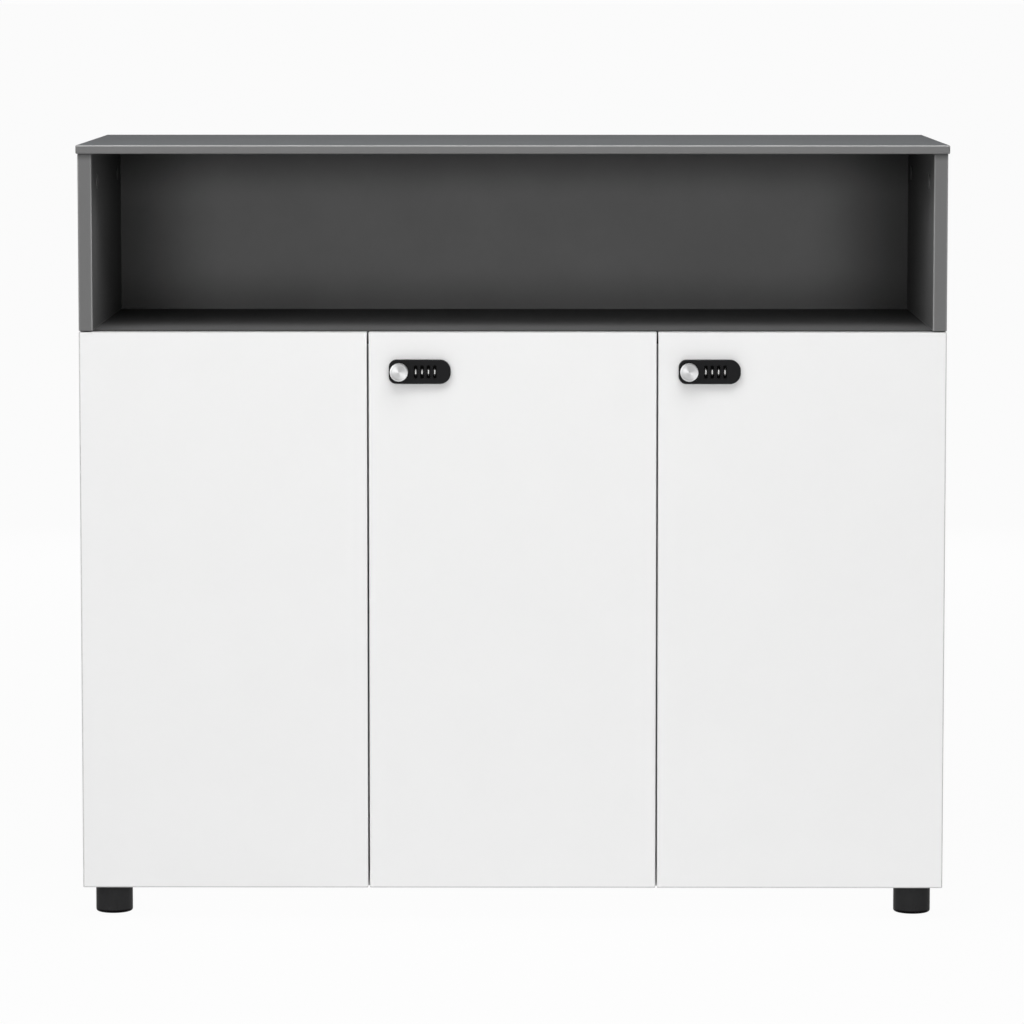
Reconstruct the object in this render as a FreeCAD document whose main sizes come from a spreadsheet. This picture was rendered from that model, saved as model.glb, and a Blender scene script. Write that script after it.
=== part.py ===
import FreeCAD, Part
import Sketcher
import os
import re

# Office storage cabinet: an open niche above three doors, on four levelling feet.
# Millimetres. +Z is up, the doors face -Y, and the floor is at zero.

# Driving dimensions

CARCASS = {
    "top_width": 1000,
    "top_depth": 400,
    "top_thickness": 10,
    "top_overhang": 2,
    "top_edge_radius": 1.5,
    "cabinet_height": 900,
    "board": 16,
    "board_edge_radius": 0.6,
    "niche_height": 203,
    "back_thickness": 5,
    "back_inset": 10,
    "groove_depth": 5,
    "groove_play": 0.2,
    "overrun": 1,
}

SHELVES = {
    "shelf_end_play": 1.5,
    "shelf_front_inset": 22,
    "shelf_back_play": 1,
    "peg_radius": 2.5,
    "peg_depth": 7,
    "peg_reach": 9,
    "peg_collar_radius": 4,
    "peg_collar_thickness": 1,
    "peg_play": 0.1,
    "peg_inset": 37,
    "peg_pitch": 32,
}

FITTINGS = {
    "fitting_play": 0.1,
    "cam_radius": 7.5,
    "cam_depth": 12.5,
    "cam_edge": 34,
    "cam_margin": 48,
    "cam_cap_radius": 8.5,
    "cam_cap_thickness": 1,
    "bolt_radius": 3,
    "bolt_hold": 7,
    "dowel_radius": 4,
    "dowel_hold": 7,
    "dowel_depth": 22,
    "long_screw_radius": 3.5,
    "long_screw_head_radius": 5,
    "long_screw_head_depth": 4,
    "long_screw_depth": 34,
    "long_screw_margin": 88,
}

DOOR_SIZES = {
    "door_thickness": 16,
    "door_gap": 2,
    "door_back_gap": 2.5,
    "door_top_gap": 1.5,
    "door_bottom_gap": 1,
    "door_edge_radius": 1,
    "bumper_radius": 4,
    "bumper_play": 0.2,
    "bumper_edge": 70,
}

HINGES = {
    "hinge_end": 100,
    "hinge_inset": 7.4,
    "hinge_depth": 5.75,
    "hinge_pin_radius": 1,
    "hinge_pin_play": 0.06,
    "knuckle_radius": 1.8,
    "cup_radius": 17.5,
    "cup_edge": 3,
    "cup_depth": 12.8,
    "cup_wall": 0.6,
    "cup_floor": 0.5,
    "cup_play": 0.1,
    "flange_thickness": 1,
    "flange_lip": 0.5,
    "wing_height": 57,
    "wing_width": 13,
    "lug_gap": 0.5,
    "lug_width": 2.5,
    "lug_radius": 2.2,
    "cup_screw_pitch": 45,
    "cup_screw_offset": 9.5,
    "arm_width": 10,
    "arm_thickness": 2,
    "arm_throat": 13.5,
    "arm_drop": 0.8,
    "plate_front": 12,
    "plate_length": 50,
    "plate_width": 14,
    "plate_line": 37,
    "foot_plate_height": 48,
    "foot_plate_length": 14,
    "foot_plate_thickness": 3,
    "plate_screw_pitch": 32,
    "arm_screw_margin": 11,
    "arm_screw_depth": 4,
}

SCREWS = {
    "screw_radius": 1.8,
    "screw_head_radius": 3.5,
    "screw_head_height": 1.8,
    "screw_depth": 10,
    "screw_play": 0.1,
    "recess_length": 4,
    "recess_width": 0.9,
    "recess_depth": 0.9,
}

LOCK = {
    "lock_edge": 23.3,
    "lock_drop": 45,
    "lock_width": 71,
    "lock_height": 27.8,
    "lock_reach": 8,
    "lock_knob_end_radius": 8.7,
    "lock_dial_end_radius": 12.4,
    "lock_edge_radius": 1.2,
    "lock_play": 0.15,
    "boss_radius": 9.5,
    "boss_reach": 7,
    "lock_nut_radius": 13.8,
    "lock_nut_thickness": 5,
    "housing_wall": 1.6,
    "dial_first": 31,
    "dial_pitch": 7.3,
    "dial_radius": 10,
    "dial_thickness": 4,
    "dial_proud": 0.6,
    "dial_play": 0.4,
    "dial_side_play": 0.25,
    "dial_window": 15.5,
    "axle_radius": 1.5,
    "axle_play": 0.08,
    "axle_hold": 1.2,
    "knob_offset": 11.8,
    "knob_radius": 10.3,
    "knob_reach": 10,
    "knob_gap": 0.3,
    "knob_chamfer": 0.8,
    "spindle_radius": 4,
    "spindle_tip_radius": 3,
    "latch_length": 26,
    "latch_width": 14,
    "latch_hub_radius": 8,
    "latch_thickness": 2.5,
    "latch_gap": 0.3,
    "latch_nut_radius": 5.8,
    "latch_nut_thickness": 4,
    "strike_width": 26,
    "strike_depth": 24,
    "strike_drop": 13,
    "strike_thickness": 2,
    "strike_gap": 1,
    "strike_screw_pitch": 14,
}

SLIDE_BOLT = {
    "slide_edge": 34,
    "slide_drop": 17,
    "slide_plate_width": 30,
    "slide_plate_height": 60,
    "slide_plate_thickness": 2,
    "slide_plate_screw_width": 21,
    "slide_plate_screw_height": 32,
    "slide_axis": 10,
    "slide_radius": 3,
    "slide_play": 0.15,
    "slide_guide_width": 12,
    "slide_guide_height": 12,
    "slide_guide_wall": 3,
    "slide_end": 1,
    "slide_knob_radius": 3.5,
    "slide_knob_reach": 14,
    "slide_knob_level": 5,
}

FEET = {
    "foot_height": 39,
    "foot_radius": 21.5,
    "foot_edge_radius": 2.5,
    "foot_side_inset": 30,
    "foot_front_inset": 69.5,
    "foot_rear_inset": 60,
    "stud_radius": 4,
    "stud_reach": 13,
    "stud_play": 0.2,
    "insert_radius": 6,
    "insert_length": 15,
}

SIZES = {**CARCASS, **SHELVES, **FITTINGS, **DOOR_SIZES, **HINGES, **SCREWS, **LOCK, **SLIDE_BOLT, **FEET}

PEG_HOLES = 5
DIALS = 4

# Places that follow from the driving dimensions

PLACES = {
    "body_width": "top_width - 2 * top_overhang",
    "half_body": "body_width / 2",
    "inner_half": "half_body - board",
    "side_middle": "half_body - board / 2",
    "front": "-(top_depth - top_overhang - lock_reach - knob_reach) / 2",
    "rear": "front + top_depth - top_overhang",
    "door_back": "front + door_thickness",
    "carcass_front": "door_back + door_back_gap",
    "back_rear": "rear - back_inset",
    "back_front": "back_rear - back_thickness",
    "bottom_top": "foot_height + board",
    "top_under": "cabinet_height - top_thickness",
    "niche_level": "top_under - niche_height",
    "floor_under": "niche_level - board",
    "door_low": "foot_height + door_bottom_gap",
    "door_high": "niche_level - door_top_gap",
    "door_width": "(body_width - 2 * door_gap) / 3",
    "left_door_high": "-half_body + door_width",
    "middle_door_low": "left_door_high + door_gap",
    "middle_door_high": "middle_door_low + door_width",
    "right_door_low": "middle_door_high + door_gap",
    "divider_middle": "middle_door_high + door_gap / 2",
    "divider_left": "divider_middle - board / 2",
    "divider_right": "divider_middle + board / 2",
    "divider_rear": "back_front - groove_play",
    "cam_front": "carcass_front + cam_margin",
    "cam_rear": "back_front - cam_margin",
    "dowel_place": "(cam_front + cam_rear) / 2",
    "long_screw_front": "carcass_front + long_screw_margin",
    "long_screw_rear": "back_front - long_screw_margin",
    "peg_front": "carcass_front + peg_inset",
    "peg_rear": "back_front - peg_inset",
    "peg_level": "(bottom_top + floor_under) / 2 - board / 2 - peg_radius",
    "shelf_under": "peg_level + peg_radius",
    "hinge_low": "door_low + hinge_end",
    "hinge_high": "door_high - hinge_end",
    "hinge_line": "front + hinge_depth",
    "cup_middle": "cup_edge + cup_radius",
    "arm_seat": "hinge_inset + arm_throat",
    "plate_low": "carcass_front + plate_front",
    "plate_high": "plate_low + plate_length",
    "lock_level": "door_high - lock_drop",
    "lock_face": "front - lock_reach",
    "boss_end": "door_back + boss_reach",
    "dial_line": "lock_face + dial_radius - dial_proud",
    "pocket_half": "dial_thickness / 2 + dial_side_play",
    "housing_half": "dial_radius + dial_play + housing_wall",
    "latch_front": "boss_end + latch_gap",
    "latch_rear": "latch_front + latch_thickness",
    "strike_rear": "latch_front - strike_gap",
    "strike_front": "strike_rear - strike_thickness",
    "slide_middle": "left_door_high - slide_edge",
    "slide_high": "floor_under - slide_drop",
    "slide_low": "slide_high - slide_plate_height",
    "slide_line": "door_back + slide_axis",
    "foot_front": "front + foot_front_inset",
    "foot_rear": "rear - foot_rear_inset",
    "foot_side": "half_body - foot_side_inset",
}

SHEETS = {"Sizes": SIZES, "Places": PLACES}


def bound(formula, own_sheet=""):
    """Write a formula's names as cells of the sheets that hold them."""
    def cell(match):
        word = match.group()
        for sheet, cells in SHEETS.items():
            if word in cells and sheet != own_sheet:
                return f"{sheet}.{word}"
        return word
    return re.sub(r"[a-z][a-z0-9_]*", cell, formula)


def fill_sheet(sheet_name, texts):
    """One row for each value: its name, then the cell that carries that name."""
    sheet = doc.addObject("Spreadsheet::Sheet", sheet_name)
    for row, (name, text) in enumerate(texts.items(), 1):
        sheet.set(f"A{row}", name)
        sheet.set(f"B{row}", text)
        sheet.setAlias(f"B{row}", name)
    return sheet


doc = FreeCAD.newDocument("storage_cabinet")
sizes = fill_sheet("Sizes", {name: str(value) for name, value in SIZES.items()})
places = fill_sheet("Places", {name: "=" + bound(text, "Places") for name, text in PLACES.items()})
doc.recompute()

# Solids whose sizes are formulas

X_AXIS = FreeCAD.Rotation(FreeCAD.Vector(0, 1, 0), 90)
Y_AXIS = FreeCAD.Rotation(FreeCAD.Vector(1, 0, 0), -90)
Z_AXIS = FreeCAD.Rotation()
AXES = {"x": X_AXIS, "y": Y_AXIS, "z": Z_AXIS}


def bind(thing, formulas):
    for name, formula in formulas.items():
        thing.setExpression(name, bound(formula))
    return thing


def place(thing, corner):
    return bind(thing, {f"Placement.Base.{axis}": formula for axis, formula in zip("xyz", corner)})


def length(span):
    return f"({span[1]}) - ({span[0]})"


def about(middle, full):
    """Span of a full width about its middle."""
    return (f"{middle} - ({full}) / 2", f"{middle} + ({full}) / 2")


def block(name, x, y, z):
    """Box between two formulas on each axis."""
    box = doc.addObject("Part::Box", name)
    bind(box, {"Length": length(x), "Width": length(y), "Height": length(z)})
    return place(box, (x[0], y[0], z[0]))


def turned(name, kind, axis, middle, span):
    """Round or six-sided bar along an axis; middle holds the other two places, in x, y, z order."""
    bar = doc.addObject(kind, name)
    bar.Placement = FreeCAD.Placement(FreeCAD.Vector(), AXES[axis])
    bind(bar, {"Height": length(span)})
    corner = list(middle)
    corner.insert("xyz".index(axis), span[0])
    return place(bar, corner)


def rod(name, axis, middle, span, radius):
    return bind(turned(name, "Part::Cylinder", axis, middle, span), {"Radius": radius})


def hexagon(name, axis, middle, span, radius):
    bar = turned(name, "Part::Prism", axis, middle, span)
    bar.Polygon = 6
    return bind(bar, {"Circumradius": radius})


def join(name, pieces):
    whole = doc.addObject("Part::MultiFuse", name)
    whole.Shapes = pieces
    whole.Refine = True
    return whole


def cut(name, base, tools):
    rest = doc.addObject("Part::Cut", name)
    rest.Base = base
    rest.Tool = tools[0] if len(tools) == 1 else join(name + "_tools", tools)
    rest.Refine = True
    return rest


def shared(name, first, second):
    common = doc.addObject("Part::Common", name)
    common.Base = first
    common.Tool = second
    return common


def group(name, solids):
    compound = doc.addObject("Part::Compound", name)
    compound.Links = solids
    return compound


# Bodies that start from a sketch

def plane_sketch(body, role, name):
    sketch = body.newObject("Sketcher::SketchObject", name)
    plane = next(feature for feature in body.Origin.OriginFeatures if feature.Role == role)
    sketch.AttachmentSupport = [(plane, "")]
    sketch.MapMode = "FlatFace"
    return sketch


def rectangle(sketch, across, along):
    """Rectangle with its first corner at the origin of the sketch."""
    corners = [FreeCAD.Vector(*corner) for corner in ((0, 0), (1, 0), (1, 1), (0, 1))]
    for index in range(4):
        sketch.addGeometry(Part.LineSegment(corners[index], corners[(index + 1) % 4]), False)
    for index in range(4):
        sketch.addConstraint(Sketcher.Constraint("Coincident", index, 2, (index + 1) % 4, 1))
        sketch.addConstraint(Sketcher.Constraint(("Horizontal", "Vertical")[index % 2], index))
    sketch.addConstraint(Sketcher.Constraint("Coincident", 0, 1, -1, 1))
    across_index = sketch.addConstraint(Sketcher.Constraint("DistanceX", 0, 1, 0, 2, 1))
    along_index = sketch.addConstraint(Sketcher.Constraint("DistanceY", 1, 1, 1, 2, 1))
    sketch.renameConstraint(across_index, "across")
    sketch.renameConstraint(along_index, "along")
    bind(sketch, {"Constraints.across": across, "Constraints.along": along})


def circle(sketch, radius):
    origin = FreeCAD.Vector()
    sketch.addGeometry(Part.Circle(origin, FreeCAD.Vector(0, 0, 1), 1), False)
    sketch.addConstraint(Sketcher.Constraint("Coincident", 0, 3, -1, 1))
    radius_index = sketch.addConstraint(Sketcher.Constraint("Radius", 0, 1))
    sketch.renameConstraint(radius_index, "radius")
    bind(sketch, {"Constraints.radius": radius})


def pad(body, sketch, height):
    feature = body.newObject("PartDesign::Pad", body.Name + "_pad")
    feature.Profile = sketch
    bind(feature, {"Length": height})
    doc.recompute()
    return feature


def soften(body, kind, size_name, size, chosen):
    """Fillet or chamfer the chosen edges of what the body holds so far."""
    last = body.Tip
    names = [f"Edge{index}" for index, edge in enumerate(last.Shape.Edges, 1) if chosen(edge)]
    feature = body.newObject(f"PartDesign::{kind}", f"{body.Name}_{kind.lower()}")
    feature.Base = (last, names)
    bind(feature, {size_name: size})
    doc.recompute()
    return feature


def panel(name, x, y, z, edge_radius):
    """Board with every edge rounded."""
    body = doc.addObject("PartDesign::Body", name)
    sketch = plane_sketch(body, "XY_Plane", name + "_sketch")
    rectangle(sketch, length(x), length(y))
    pad(body, sketch, length(z))
    soften(body, "Fillet", "Radius", edge_radius, lambda edge: True)
    return place(body, (x[0], y[0], z[0]))


# Nodes, each written to its own file

NODES = []


def node(thing, label):
    thing.Label = label
    NODES.append(thing)
    return thing


# Sides of the carcass, as the direction from the middle and the name

SIDES = {"left": -1, "right": 1}


def mirrored(sign, near, far):
    """Span of X from near to far on the left (-1) or the right (1)."""
    return (near, far) if sign > 0 else (f"-({far})", f"-({near})")


def signed(sign, formula):
    return formula if sign > 0 else f"-({formula})"


# Cam joints: a cam turned in the upright board grips a bolt that stands in the flat one

UPRIGHTS = {
    "side_left": {"middle": "-side_middle", "face": "-inner_half", "into": -1, "ends": ("low", "high")},
    "side_right": {"middle": "side_middle", "face": "inner_half", "into": 1, "ends": ("low", "high")},
    "divider": {"middle": "divider_middle", "face": "divider_right", "into": -1, "ends": ("low", "high")},
    "niche_left": {"middle": "-side_middle", "face": "-inner_half", "into": -1, "ends": ("top",)},
    "niche_right": {"middle": "side_middle", "face": "inner_half", "into": 1, "ends": ("top",)},
}
END_LEVELS = {"low": ("bottom_top", 1), "high": ("floor_under", -1), "top": ("top_under", -1),
              "niche": ("niche_level", 1)}


def rise(end, start, stop):
    """Span of Z from start to stop, measured from the end of an upright board into it."""
    level, up = END_LEVELS[end]
    return (f"{level} + ({start})", f"{level} + ({stop})") if up > 0 else (f"{level} - ({stop})",
                                                                           f"{level} - ({start})")


def cam_span(upright, start, stop):
    """Span of X from start to stop, measured from the face of an upright board into it."""
    face = upright["face"]
    if upright["into"] > 0:
        return (f"{face} + ({start})", f"{face} + ({stop})")
    return (f"{face} - ({stop})", f"{face} - ({start})")


def cam_level(end):
    return rise(end, "cam_edge", "cam_edge")[0]


def cam_solids():
    """Cams, bolts and caps, with the bores they need in each board."""
    cams, bolts, caps = [], [], []
    for name, upright in UPRIGHTS.items():
        for end in upright["ends"]:
            for row in ("cam_front", "cam_rear"):
                tag = f"{name}_{end}_{row}"
                blank = rod(f"cam_{tag}", "x", (row, cam_level(end)), cam_span(upright, "0", "cam_depth"),
                            "cam_radius")
                throat = rod(f"throat_{tag}", "z", (upright["middle"], row), rise(end, "0", "cam_edge"),
                             "bolt_radius + fitting_play")
                cams.append(cut(f"cam_body_{tag}", blank, [throat]))
                bolts.append(rod(f"bolt_{tag}", "z", (upright["middle"], row),
                                 rise(end, "-bolt_hold", "cam_edge"),
                                 "bolt_radius"))
                if end == "top":
                    caps.append(rod(f"cap_{tag}", "x", (row, cam_level(end)),
                                    cam_span(upright, "-cam_cap_thickness", "0"),
                                    "cam_cap_radius"))
    return cams, bolts, caps


def upright_bores(name):
    """Bores for cams, bolts and dowels in an upright board."""
    upright = UPRIGHTS[name]
    bores = []
    for end in upright["ends"]:
        for row in ("cam_front", "cam_rear"):
            tag = f"{name}_{end}_{row}"
            bores.append(rod(f"cam_bore_{tag}", "x", (row, cam_level(end)),
                             cam_span(upright, "0", "cam_depth + fitting_play"),
                             "cam_radius + fitting_play"))
            bores.append(rod(f"bolt_bore_{tag}", "z", (upright["middle"], row),
                             rise(end, "-overrun", "cam_edge"),
                             "bolt_radius + fitting_play"))
        bores.append(rod(f"dowel_bore_{name}_{end}", "z", (upright["middle"], "dowel_place"),
                         rise(end, "-overrun", "dowel_depth + fitting_play"),
                         "dowel_radius + fitting_play"))
    return bores


def flat_bores(end, names):
    """Bores for bolts and dowels in the flat board that the uprights stand against."""
    bores = []
    for name in names:
        middle = UPRIGHTS[name]["middle"]
        for row in ("cam_front", "cam_rear"):
            bores.append(rod(f"bolt_seat_{name}_{end}_{row}", "z", (middle, row),
                             rise(end, "-bolt_hold - fitting_play", "overrun"),
                             "bolt_radius + fitting_play"))
        bores.append(rod(f"dowel_seat_{name}_{end}", "z", (middle, "dowel_place"),
                         rise(end, "-dowel_hold - fitting_play", "overrun"), "dowel_radius + fitting_play"))
    return bores


def dowels():
    ends = [(name, end) for name, upright in UPRIGHTS.items() for end in upright["ends"]]
    ends += [("niche_left", "niche"), ("niche_right", "niche")]
    return [rod(f"dowel_{name}_{end}", "z", (UPRIGHTS[name]["middle"], "dowel_place"),
                rise(end, "-dowel_hold", "dowel_depth"), "dowel_radius") for name, end in ends]


# Shelf pegs and their rows of holes

PEG_FACES = {
    "side_left": ("-inner_half", 1),
    "divider_left": ("divider_left", -1),
    "divider_right": ("divider_right", 1),
    "side_right": ("inner_half", -1),
}


def from_face(face_name, into, out):
    """Span of X from a depth inside a board to a reach outside its face."""
    face, outward = PEG_FACES[face_name]
    if outward > 0:
        return (f"{face} - ({into})", f"{face} + ({out})")
    return (f"{face} - ({out})", f"{face} + ({into})")


def peg_holes(face_name):
    holes = []
    for row in ("peg_front", "peg_rear"):
        for step in range(PEG_HOLES):
            offset = step - PEG_HOLES // 2
            holes.append(rod(f"peg_hole_{face_name}_{row}_{step}", "x",
                             (row, f"peg_level + {offset} * peg_pitch"),
                             from_face(face_name, "peg_depth + peg_play", "overrun"),
                             "peg_radius + peg_play"))
    return holes


def pegs():
    solids = []
    for face_name in PEG_FACES:
        for row in ("peg_front", "peg_rear"):
            tag = f"{face_name}_{row}"
            pin = rod(f"peg_pin_{tag}", "x", (row, "peg_level"),
                      from_face(face_name, "peg_depth", "peg_reach"),
                      "peg_radius")
            collar = rod(f"peg_collar_{tag}", "x", (row, "peg_level"),
                         from_face(face_name, "0", "peg_collar_thickness"), "peg_collar_radius")
            solids.append(join(f"peg_{tag}", [pin, collar]))
    return solids


# Screws with a cross recess; the shank runs from the seat along the axis, the head the other way

def screw(name, axis, middle, seat, sign, depth):
    def run(start, stop):
        ends = (f"{seat} + ({start})", f"{seat} + ({stop})")
        return ends if sign > 0 else (f"{seat} - ({stop})", f"{seat} - ({start})")

    shank = rod(name + "_shank", axis, middle, run("-screw_head_height / 2", depth), "screw_radius")
    head = rod(name + "_head", axis, middle, run("-screw_head_height", "0"), "screw_head_radius")
    floor = run("-screw_head_height - overrun", "recess_depth - screw_head_height")
    arms = []
    for first, second in (("recess_length", "recess_width"), ("recess_width", "recess_length")):
        spans = [about(middle[0], first), about(middle[1], second)]
        spans.insert("xyz".index(axis), floor)
        arms.append(block(f"{name}_recess_{first}", *spans))
    return cut(name, join(name + "_blank", [shank, head]), arms)


def screw_bore(name, axis, middle, seat, sign, depth):
    deep = f"{depth} + screw_play"
    span = (f"{seat} - overrun", f"{seat} + {deep}") if sign > 0 else (f"{seat} - ({deep})",
                                                                       f"{seat} + overrun")
    return rod(name, axis, middle, span, "screw_radius + screw_play")


# Doors and what each hangs on

DOORS = {
    "left": {"low": "-half_body", "high": "left_door_high", "edge": "-half_body", "into": 1,
             "face": "board", "locked": False},
    "middle": {"low": "middle_door_low", "high": "middle_door_high", "edge": "middle_door_high", "into": -1,
               "face": "(board - door_gap) / 2", "locked": True},
    "right": {"low": "right_door_low", "high": "half_body", "edge": "half_body", "into": -1,
              "face": "board", "locked": True},
}
LEVELS = ("hinge_low", "hinge_high")
HALVES = {"under": -1, "over": 1}


def inward(door, near, far):
    """Span of X from near to far, measured from the hinge edge of the door."""
    edge, into = door["edge"], door["into"]
    if into > 0:
        return (f"{edge} + ({near})", f"{edge} + ({far})")
    return (f"{edge} - ({far})", f"{edge} - ({near})")


def spot(door, distance):
    return inward(door, distance, distance)[0]


def cup_screw_places(door):
    """X and Z of the two screws of each cup."""
    across = spot(door, "cup_middle + cup_screw_offset")
    return {(level, half): (across, f"{level} + {sign} * cup_screw_pitch / 2")
            for level in LEVELS for half, sign in HALVES.items()}


def hinge_cup(name, door, level):
    """Pressed cup with its flange, screw wings and the two lugs that carry the pin."""
    tag = f"{name}_{level}"
    middle = (spot(door, "cup_middle"), level)
    outer = rod(f"cup_wall_{tag}", "y", middle, ("door_back - cup_depth", "door_back"), "cup_radius")
    flange = rod(f"cup_flange_{tag}", "y", middle, ("door_back", "door_back + flange_thickness"),
                 "cup_radius + flange_lip")
    wings = block(f"cup_wings_{tag}",
                  inward(door, "cup_middle + cup_screw_offset - wing_width / 2",
                         "cup_middle + cup_screw_offset + wing_width / 2"),
                  ("door_back", "door_back + flange_thickness"), about(level, "wing_height"))
    hollow = rod(f"cup_hollow_{tag}", "y", middle,
                 ("door_back - cup_depth + cup_floor", "door_back + flange_thickness + overrun"),
                 "cup_radius - cup_wall")
    holes = [screw_bore(f"cup_hole_{tag}_{half}", "y", cup_screw_places(door)[level, half],
                        "door_back + flange_thickness", -1, "flange_thickness + overrun")
             for half in HALVES]
    shell = cut(f"cup_shell_{tag}", join(f"cup_blank_{tag}", [outer, flange, wings]), [hollow] + holes)
    lug_y = ("door_back - cup_depth", "hinge_line + lug_radius")
    lug_x = inward(door, "hinge_inset - lug_radius", "hinge_inset + lug_radius")
    lugs = []
    for half, sign in HALVES.items():
        near = f"{level} + {sign} * (arm_width / 2 + lug_gap)"
        far = f"{level} + {sign} * (arm_width / 2 + lug_gap + lug_width)"
        lugs.append(block(f"cup_lug_{tag}_{half}", lug_x, lug_y, (near, far) if sign > 0 else (far, near)))
    limit = rod(f"cup_limit_{tag}", "y", middle, ("door_back - cup_depth", "door_back"), "cup_radius")
    inside = shared(f"cup_lugs_{tag}", join(f"cup_lug_pair_{tag}", lugs), limit)
    pin_hole = rod(f"cup_pin_hole_{tag}", "z", (spot(door, "hinge_inset"), "hinge_line"),
                   about(level, "cup_radius * 2"), "hinge_pin_radius")
    return cut(f"hinge_cup_{tag}", join(f"cup_with_lugs_{tag}", [shell, inside]), [pin_hole])


def hinge_pin(name, door, level):
    return rod(f"hinge_pin_{name}_{level}", "z", (spot(door, "hinge_inset"), "hinge_line"),
               about(level, "arm_width + 2 * (lug_gap + lug_width)"), "hinge_pin_radius")


def arm_screw_places(level):
    return {"front": ("plate_low + arm_screw_margin", level),
            "rear": ("plate_high - arm_screw_margin", level)}


def hinge_arm(name, door, level):
    """Gooseneck arm: it reaches round the rim of the cup to the pin near the door's outer edge."""
    tag = f"{name}_{level}"
    wide = about(level, "arm_width")
    knuckle = rod(f"arm_knuckle_{tag}", "z", (spot(door, "hinge_inset"), "hinge_line"), wide,
                  "knuckle_radius")
    leg_y = ("hinge_line - arm_drop", "hinge_line - arm_drop + arm_thickness")
    leg = block(f"arm_leg_{tag}", inward(door, "hinge_inset", "arm_seat + arm_thickness"), leg_y, wide)
    strap = block(f"arm_strap_{tag}", inward(door, "arm_seat", "arm_seat + arm_thickness"),
                  (leg_y[0], "plate_high"), wide)
    bore = rod(f"arm_bore_{tag}", "z", (spot(door, "hinge_inset"), "hinge_line"),
               about(level, "cup_radius * 2"),
               "hinge_pin_radius + hinge_pin_play")
    holes = [screw_bore(f"arm_hole_{tag}_{end}", "x", middle, spot(door, "arm_seat + arm_thickness"),
                        -door["into"],
                        "arm_thickness + overrun") for end, middle in arm_screw_places(level).items()]
    return cut(f"hinge_arm_{tag}", join(f"arm_blank_{tag}", [knuckle, leg, strap]), [bore] + holes)


def plate_screw_places(level):
    return {half: ("carcass_front + plate_line", f"{level} + {sign} * plate_screw_pitch / 2")
            for half, sign in HALVES.items()}


def hinge_plate(name, door, level):
    """Mounting plate on the upright board, as high as the arm needs."""
    tag = f"{name}_{level}"
    face = door["face"]
    body = block(f"plate_body_{tag}", inward(door, face, "arm_seat"), ("plate_low", "plate_high"),
                 about(level, "plate_width"))
    foot = block(f"plate_foot_{tag}", inward(door, face, f"{face} + foot_plate_thickness"),
                 about("carcass_front + plate_line", "foot_plate_length"),
                 about(level, "foot_plate_height"))
    holes = [screw_bore(f"plate_hole_{tag}_{half}", "x", middle,
                        spot(door, f"{face} + foot_plate_thickness"),
                        -door["into"], "foot_plate_thickness + overrun")
             for half, middle in plate_screw_places(level).items()]
    holes += [screw_bore(f"plate_tap_{tag}_{end}", "x", middle, spot(door, "arm_seat"), -door["into"],
                         "arm_screw_depth") for end, middle in arm_screw_places(level).items()]
    return cut(f"hinge_plate_{tag}", join(f"plate_blank_{tag}", [body, foot]), holes)


def hinge_screws(name, door, level):
    tag = f"{name}_{level}"
    face = door["face"]
    screws = [screw(f"plate_screw_{tag}_{half}", "x", middle, spot(door, f"{face} + foot_plate_thickness"),
                    -door["into"], "foot_plate_thickness + screw_depth")
              for half, middle in plate_screw_places(level).items()]
    screws += [screw(f"arm_screw_{tag}_{end}", "x", middle, spot(door, "arm_seat + arm_thickness"),
                     -door["into"],
                     "arm_thickness + arm_screw_depth") for end, middle in arm_screw_places(level).items()]
    return screws


def hinge_holes(door_names):
    """Screw holes for the hinge plates in the board that carries them."""
    holes = []
    for name in door_names:
        door = DOORS[name]
        for level in LEVELS:
            holes += [screw_bore(f"hinge_screw_hole_{name}_{level}_{half}", "x", middle,
                                 spot(door, door["face"]),
                                 -door["into"], "screw_depth") for half,
                      middle in plate_screw_places(level).items()]
    return holes


# Combination lock on a door

def lock_left(door):
    return f"{door['low']} + lock_edge"


def knob_middle(door):
    return f"{lock_left(door)} + knob_offset"


def dial_middle(door, index):
    return f"{lock_left(door)} + dial_first + {index} * dial_pitch"


def housing_span(door, wall):
    return (f"{dial_middle(door, 0)} - pocket_half - {wall}",
            f"{dial_middle(door, DIALS - 1)} + pocket_half + {wall}")


def lock_cutouts(name, door):
    boss = rod(f"lock_boss_hole_{name}", "y", (knob_middle(door), "lock_level"),
               ("front - overrun", "door_back + overrun"), "boss_radius + lock_play")
    housing = block(f"lock_housing_hole_{name}", housing_span(door, "(housing_wall + lock_play)"),
                    ("front - overrun", "door_back + overrun"),
                    about("lock_level", "2 * (housing_half + lock_play)"))
    return [boss, housing]


def lock_plate(name, door):
    """Front plate with a tight end round the knob and a fuller end past the dials."""
    body = doc.addObject("PartDesign::Body", f"lock_plate_{name}")
    sketch = plane_sketch(body, "XZ_Plane", f"lock_plate_{name}_sketch")
    rectangle(sketch, "lock_width", "lock_height")
    pad(body, sketch, "lock_reach")

    def upright_at(wanted):
        def chosen(edge):
            box = edge.BoundBox
            return box.YLength > box.XLength + box.ZLength and abs(box.XMin - wanted) < sizes.lock_reach
        return chosen

    soften(body, "Fillet", "Radius", "lock_knob_end_radius", upright_at(0))
    soften(body, "Fillet", "Radius", "lock_dial_end_radius", upright_at(sizes.lock_width))
    front_y = body.Tip.Shape.BoundBox.YMin
    rim = sizes.lock_edge_radius
    soften(body, "Fillet", "Radius", "lock_edge_radius",
           lambda edge: edge.BoundBox.YMax < front_y + rim / 2)
    return place(body, (lock_left(door), "front", "lock_level - lock_height / 2"))


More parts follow.
